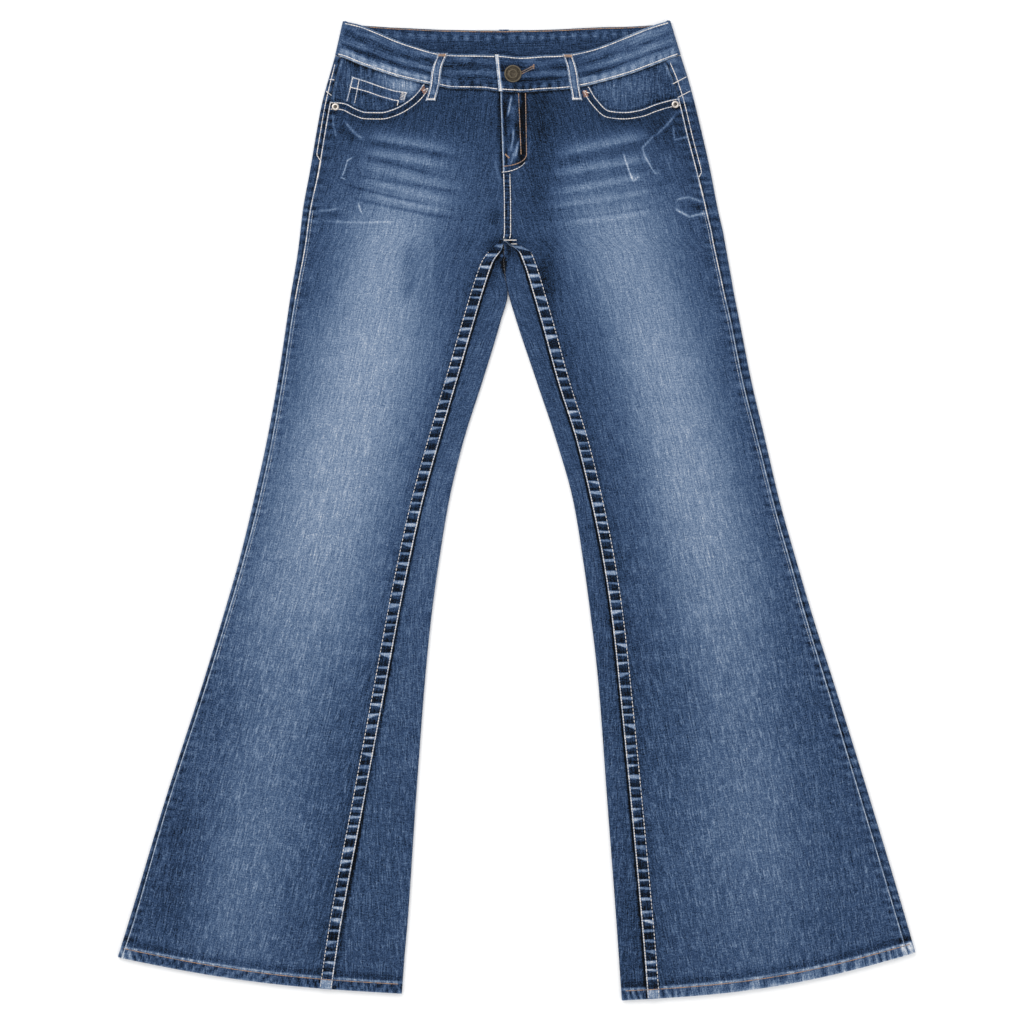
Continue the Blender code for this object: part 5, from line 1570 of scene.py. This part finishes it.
MOUTH_ROWS_INSET = (1.3, 8.2)
CORNER_TACKS = {"right": ((-104.0, 465.0), (-99.8, 458.4)), "left": ((74.6, 461.4), (76.4, 454.2))}
CORNER_TACK_WIDTH = 6.2
FLY_TOP = 458.5
FLY_ROWS = ((2.2, 5.0), (9.8, 11.0))     # x at the top and at the turn
FLY_ROW_TURN = (13.0, 19.3)
rows = [stitched(along_mouth(leg, inset)) for leg in LEGS for inset in MOUTH_ROWS_INSET]
turn = np.linspace(0.15, 0.48, 30) * np.pi
turn_x = FLY_EDGE_X + (FLY_ROWS[1][1] + 1.5 - FLY_EDGE_X) * np.cos(turn)
rows.append(stitched(on_front(LEFT, turn_x, FLY_TURN_Y - FLY_ROW_TURN[1] * np.sin(turn))))
y = np.linspace(RISE_TOP_Y - 1.0, RISE_FOOT_Y, 40)
for side in (-0.82, 0.78):
    rows.append(stitched(flat_path(rise_centre(y) + side * RISE_HALF, y, pile(y) + 1.35)))
sew("stitches_front", rows, ecru)

fly_y = np.linspace(FLY_TOP, FLY_TURN_Y, 60)
inner_row, outer_row = [mix(*row, (FLY_TOP - fly_y) / (FLY_TOP - FLY_TURN_Y)) for row in FLY_ROWS]
turn = np.linspace(0.0, 0.46, 40) * np.pi
turn_x = FLY_EDGE_X + (FLY_ROWS[1][1] - FLY_EDGE_X) * np.cos(turn)
turn_y = FLY_TURN_Y - FLY_ROW_TURN[0] * np.sin(turn)
outer = on_front(LEFT, np.concatenate((outer_row, turn_x)), np.concatenate((fly_y, turn_y)))
tack_ends = np.linspace(0.0, 1.0, 8)
crotch_tacks = [flat_path(mix(-14.0, 0.0, tack_ends), 297.0, pile(297.0) + 1.7),
                flat_path(mix(-6.0, 0.5, tack_ends), 292.8, pile(292.8) + 1.5)]
sew("tacks_crotch", [bar_tack(path, 1.2) for path in crotch_tacks], ecru)
fly_tack = on_front(LEFT, mix(-12.5, -8.0, tack_ends), mix(391.5, 387.0, tack_ends))
sew("stitches_fly", [stitched(on_front(LEFT, inner_row, fly_y)), stitched(outer),
                     bar_tack(fly_tack, 2.0)], tan)

tacks = []
for leg in LEGS:
    (x0, y0), (x1, y1) = CORNER_TACKS[leg.side]
    path = on_front(leg, mix(x0, x1, tack_ends), mix(y0, y1, tack_ends), 0.2)
    tacks.append(bar_tack(path, CORNER_TACK_WIDTH, 0.8))
sew("tacks_pocket_corners", tacks, copper)


def on_coin(across, drop):
    """A path on the coin pocket, where drop is the distance below its top edge."""
    across, drop = np.broadcast_arrays(np.asarray(across, float), np.asarray(drop, float))
    top_y, foot_y = coin_point(across, 0.0)[1], coin_point(across, 1.0)[1]
    down = drop / (top_y - foot_y)
    x, y = coin_point(across, down)
    return flat_path(x, y, coin_form(x, y, across, down)[0] + 0.1)


# Rows down the sides, in pairs: where across, and how far below the top they start and end.
COIN_TOP_ROW = 1.2
COIN_SIDE_ROWS = ((0.02, COIN_TOP_ROW, 27.0), (0.13, COIN_TOP_ROW, 27.0), (0.86, COIN_HEM, 16.0),
                  (0.98, COIN_TOP_ROW, 9.5))
coin_rows = [stitched(on_coin(np.linspace(0.02, 0.98, 40), COIN_TOP_ROW)),
             stitched(on_coin(np.linspace(0.02, 0.87, 36), COIN_HEM))]
for across, start, foot in COIN_SIDE_ROWS:
    coin_rows.append(stitched(on_coin(across, np.linspace(start, foot, 14))))
coin_rows.append(bar_tack(on_coin(0.925, np.linspace(2.2, COIN_HEM - 1.0, 8)), 5.6, 1.5, 0.4))
sew("stitches_coin_pocket", coin_rows, ecru)


def on_band(x, v, lapped, lift=0.1):
    x, y, height, _ = band_top_point(x, v, lapped)
    return flat_path(x, y, height + lift)


def on_loop(name, y, across, lift):
    x, y, height, _ = front_loop_point(name, y, across)
    return flat_path(x, y, height + lift)


# Waistband: along both edges, and down the end of the overlap.
BAND_ROW_TOP = 0.055
BAND_ROW_LOW = 0.945
END_ROW_INSET = 2.6
BAND_THREAD = 0.68               # the band is sewn with the thickest thread
rows = []
for v in (BAND_ROW_TOP, BAND_ROW_LOW):
    right_x, left_x, end_x = band_side(RIGHT, v)[0], band_side(LEFT, v)[0], mix(*OVERLAP_END, v)
    for ends, count, lapped in (((right_x + 3.0, end_x - 1.0), 130, False),
                                ((end_x + 1.0, left_x - 3.0), 150, True)):
        path = on_band(np.linspace(*ends, count), v, lapped, 0.15)
        rows.append(stitched(path, radius=BAND_THREAD))
    x = np.linspace(right_x + 4.0, left_x - 4.0, 150)
    y = band_y("back", x, v)
    rows.append(under_row(x, y, under_lift(x, y)))
v = np.linspace(BAND_ROW_TOP, BAND_ROW_LOW, 30)
rows.append(stitched(on_band(mix(*OVERLAP_END, v) + END_ROW_INSET, v, True, 0.0)))
sew("stitches_waistband", rows, ecru)

x = np.linspace(BAND_TOP_CORNER["right"][0] + 9.0, BAND_TOP_CORNER["left"][0] - 9.0, 150)
y = band_y("back", x, 0.035)
rows = [stitched(flat_path(x, y, under_lift(x, y) + BAND_CLOTH + 0.1))]
x = np.linspace(BUTTON_X + 3.0, BUTTONHOLE[1], 24)
for side in (-1.0, 1.0):
    v = buttonhole_v(x) + side * (BUTTONHOLE_HALF + 0.5) / BAND_WIDTH
    rows.append(bar_tack(on_band(x, v, True), 1.5, 0.85, 0.38))
x = np.full(6, BUTTONHOLE[1] + 0.8)
v = buttonhole_v(x) + np.linspace(-2.6, 2.6, 6) / BAND_WIDTH
rows.append(bar_tack(on_band(x, v, True), 2.0, 0.8))
sew("stitches_buttonhole", rows, tan)

rows, tacks = [], []
for name, route in FRONT_LOOPS.items():
    top_y, foot_y = route[0][0], route[-1][0]
    y = np.linspace(top_y - 1.0, foot_y + 1.0, 40)
    for across in (-0.68, 0.68):
        rows.append(stitched(on_loop(name, y, across, 0.0)))
    across = np.linspace(-0.86, 0.86, 10)
    tacks.append(bar_tack(on_loop(name, top_y - 2.4 + 0.0 * across, across, 0.15), 3.6))
    rows.append(bar_tack(on_loop(name, foot_y + 1.6 + 0.0 * across, across, 0.15), 2.0))
sew("stitches_front_loops", rows, ecru)
sew("tacks_front_loops", tacks, tan)

# The side that lies on the floor: back pockets, yokes, centre back and back loops.
rows = []
for leg in LEGS:
    size = BACK_POCKETS[leg.side]
    for inset in (1.6, 7.6):
        side, foot = 1 - inset / size["low_half"], 1 - inset / size["drop"]
        across = np.concatenate((np.full(20, side), np.linspace(side, -side, 41),
                                 np.full(20, -side)))
        fall = np.linspace(0.01, foot, 20)
        down = np.concatenate((fall, np.full(41, foot), fall[::-1]))
        rows.append(under_row(*pocket_outline(leg, across, down)))
    x, y = pocket_outline(leg, np.linspace(0.97, -0.97, 30), POCKET_HEM / size["drop"])
    rows.append(under_row(x, size["top"] - POCKET_HEM))
    x = np.linspace(leg.edge(YOKE_SIDE_Y[leg.side]) + 6.0 * leg.inward,
                    CENTRE_X - 1.0 * leg.inward, 60)
    for drop in (-3.2, 3.2):
        y = yoke_seam(leg, "under", x) + drop
        rows.append(under_row(x, y, under_lift(x, y)))
    y = np.linspace(band["back_seam"](CENTRE_X) - 2.0, CROTCH_FOLD_Y + 4.0, 60)
    x = CENTRE_X - 3.4 * leg.inward + 0.0 * y
    rows.append(under_row(x, y, under_lift(x, y)))
for loop_x in BACK_LOOPS.values():
    y = np.linspace(BACK_LOOP_TOP - 1.0, BACK_LOOP_END + 1.0, 30)
    rows.extend(under_row(loop_x + side, y) for side in (-3.7, 3.7))
    x = np.linspace(loop_x - 4.6, loop_x + 4.6, 10)
    for end in (BACK_LOOP_TOP - 2.0, BACK_LOOP_END + 2.0):
        rows.append(bar_tack(flat_path(x, end, UNDER_THREAD[0]), 2.2, 0.62, UNDER_THREAD[1]))
sew("stitches_back", rows, tan)


# ---- Button, rivets and zip ------------------------------------------------------------------
# A shank button of antiqued brass, stamped with plain rings, goes through the buttonhole, and a
# worn nickel rivet holds each pocket's outer corner. The brass zip lies hidden behind the fly.

BUTTON_FOOT = 7.1
BUTTON_RIM = 9.8
BUTTON_THICK = 2.2
BUTTON_RADIUS = 9.5
BUTTON_POST = 2.4
BUTTON_STEPS = ((1.5, 0.0), (0.5, -0.7), (2.0, 0.15), (0.35, 0.45), (1.3, 0.1), (0.35, -0.5))
RIVET_FOOT = 6.9
RIVET_THICK = 1.0
RIVET_RADIUS = 4.0
RIVET_STEPS = ((1.1, 0.35), (0.9, -0.1), (0.3, -0.8), (0.2, 0.0))
RIVETS = {"rivet_right": (-199.0, 443.3), "rivet_left": (174.4, 446.0)}


def turned(name, place, foot, thick, radius, steps, post=None):
    """A stamped disc: each step insets the top face by the first size and raises it by the
    second. A post, given by its radius and foot, is drawn down from the underside."""
    deselect()
    bpy.ops.mesh.primitive_cylinder_add(
        vertices=48, radius=radius * MM, depth=thick * MM,
        location=(place[0] * MM, place[1] * MM, (foot + thick / 2) * MM))
    item = bpy.context.object
    item.name = item.data.name = name
    bpy.ops.object.transform_apply(location=True, rotation=True, scale=True)

    def select_caps(upper):
        bpy.ops.object.mode_set(mode="EDIT")
        bpy.ops.mesh.select_mode(type="FACE")
        bpy.ops.mesh.select_all(action="DESELECT")
        bpy.ops.object.mode_set(mode="OBJECT")
        for polygon in item.data.polygons:
            polygon.select = polygon.normal.z > 0.9 if upper else polygon.normal.z < -0.9
        bpy.ops.object.mode_set(mode="EDIT")
    select_caps(True)
    for inset, rise in steps:
        bpy.ops.mesh.inset(thickness=inset * MM, depth=rise * MM)
    bpy.ops.object.mode_set(mode="OBJECT")
    if post:
        select_caps(False)
        bpy.ops.mesh.inset(thickness=(radius - post[0]) * MM, depth=0.0)
        bpy.ops.mesh.extrude_region_move(
            TRANSFORM_OT_translate={"value": (0.0, 0.0, (post[1] - foot) * MM)})
        bpy.ops.object.mode_set(mode="OBJECT")
    bevel = item.modifiers.new("Worn edges", "BEVEL")
    bevel.width = 0.16 * MM
    bevel.segments = 2
    bevel.angle_limit = math.radians(35)
    apply_modifiers(item)
    item.data.shade_smooth()
    item.data.set_sharp_from_angle(angle=math.radians(50))
    return item


def cast_metal(name, pale, dark, roughness, low, high):
    """A stamped and tumbled metal: dark in its hollows and rubbed bright where it stands up,
    between the heights low and high, with fine scratches that spread its highlights."""
    material, tree, shader = new_material(name, {"Metallic": 1.0})
    place = add_node(tree, "TexCoord", {}).outputs["Object"]
    height = add_node(tree, "SeparateXYZ", {"Vector": place}).outputs["Z"]
    blotch = add_node(tree, "TexNoise", {"Vector": place, "Scale": 1 / (1.6 * MM), "Detail": 4.0})
    scratch = add_node(tree, "TexNoise", {"Vector": place, "Scale": 1 / (0.25 * MM)})
    raised = add_node(tree, "MapRange", {
        "Value": height, "From Min": low * MM, "From Max": high * MM})
    rubbed = add_node(tree, "Math", {0: raised, 1: 0.6, 2: -0.1}, operation="MULTIPLY_ADD")
    rubbed = add_node(tree, "Math", {0: blotch, 1: 0.8, 2: rubbed}, operation="MULTIPLY_ADD")
    ramp = add_node(tree, "ValToRGB", {"Fac": rubbed}, ((0.30, dark), (0.95, pale)))
    rough = add_node(tree, "Math", {0: scratch, 1: 0.35, 2: roughness - 0.17},
                     operation="MULTIPLY_ADD")
    bump = add_node(tree, "Bump", {"Height": scratch, "Distance": 0.05 * MM, "Strength": 0.5})
    set_inputs(shader, {"Base Color": ramp, "Roughness": rough, "Normal": bump})
    return material


button_y = float(band_y("front", BUTTON_X, 0.5))
button = turned("shank_button", (BUTTON_X, button_y), BUTTON_RIM, BUTTON_THICK, BUTTON_RADIUS,
                BUTTON_STEPS, (BUTTON_POST, BUTTON_FOOT))
button.data.materials.append(cast_metal("antiqued_brass_stamped", "#625a4d", "#201d1a", 0.45,
                                        BUTTON_RIM + 1.2, BUTTON_RIM + BUTTON_THICK))
nickel = cast_metal("nickel_plated_brass_tumbled", "#cdc6bf", "#3d362f", 0.35,
                    RIVET_FOOT + 0.4, RIVET_FOOT + RIVET_THICK + 0.3)
fix(button, "button")
for name, place in RIVETS.items():
    rivet = turned(name + "_cap", place, RIVET_FOOT, RIVET_THICK, RIVET_RADIUS, RIVET_STEPS)
    rivet.data.materials.append(nickel)
    fix(rivet, name)

ZIP_X = -2.0
TOOTH_PITCH = 1.3
CHAIN_HALF = 2.6
zip_material, tree, shader = new_material("brass_zip_on_woven_tape", {"Roughness": 0.5})
place = add_node(tree, "SeparateXYZ", {
    "Vector": add_node(tree, "TexCoord", {}).outputs["Object"]})
off_centre = add_node(tree, "Math", {0: place.outputs["X"], 1: -ZIP_X * MM}, operation="ADD")
off_centre = add_node(tree, "Math", {0: off_centre}, operation="ABSOLUTE")
on_chain = add_node(tree, "Math", {0: off_centre, 1: CHAIN_HALF * MM}, operation="LESS_THAN")
teeth = add_node(tree, "Math", {0: place.outputs["Y"], 1: 2 * math.pi / (TOOTH_PITCH * MM)},
                 operation="MULTIPLY")
teeth = add_node(tree, "Math", {0: teeth}, operation="SINE")
teeth = add_node(tree, "Math", {0: teeth, 1: -0.2}, operation="GREATER_THAN")
metal = add_node(tree, "Math", {0: on_chain, 1: teeth}, operation="MULTIPLY")
colour = add_node(tree, "Mix", {"Factor": metal, 6: linear("#1c2740"), 7: linear("#b08d57")},
                  data_type="RGBA")
bump = add_node(tree, "Bump", {"Height": metal, "Distance": 0.6 * MM, "Strength": 0.8})
set_inputs(shader, {"Base Color": colour.outputs[2], "Metallic": metal, "Normal": bump})
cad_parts["fly_zip"].data.materials.clear()
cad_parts["fly_zip"].data.materials.append(zip_material)
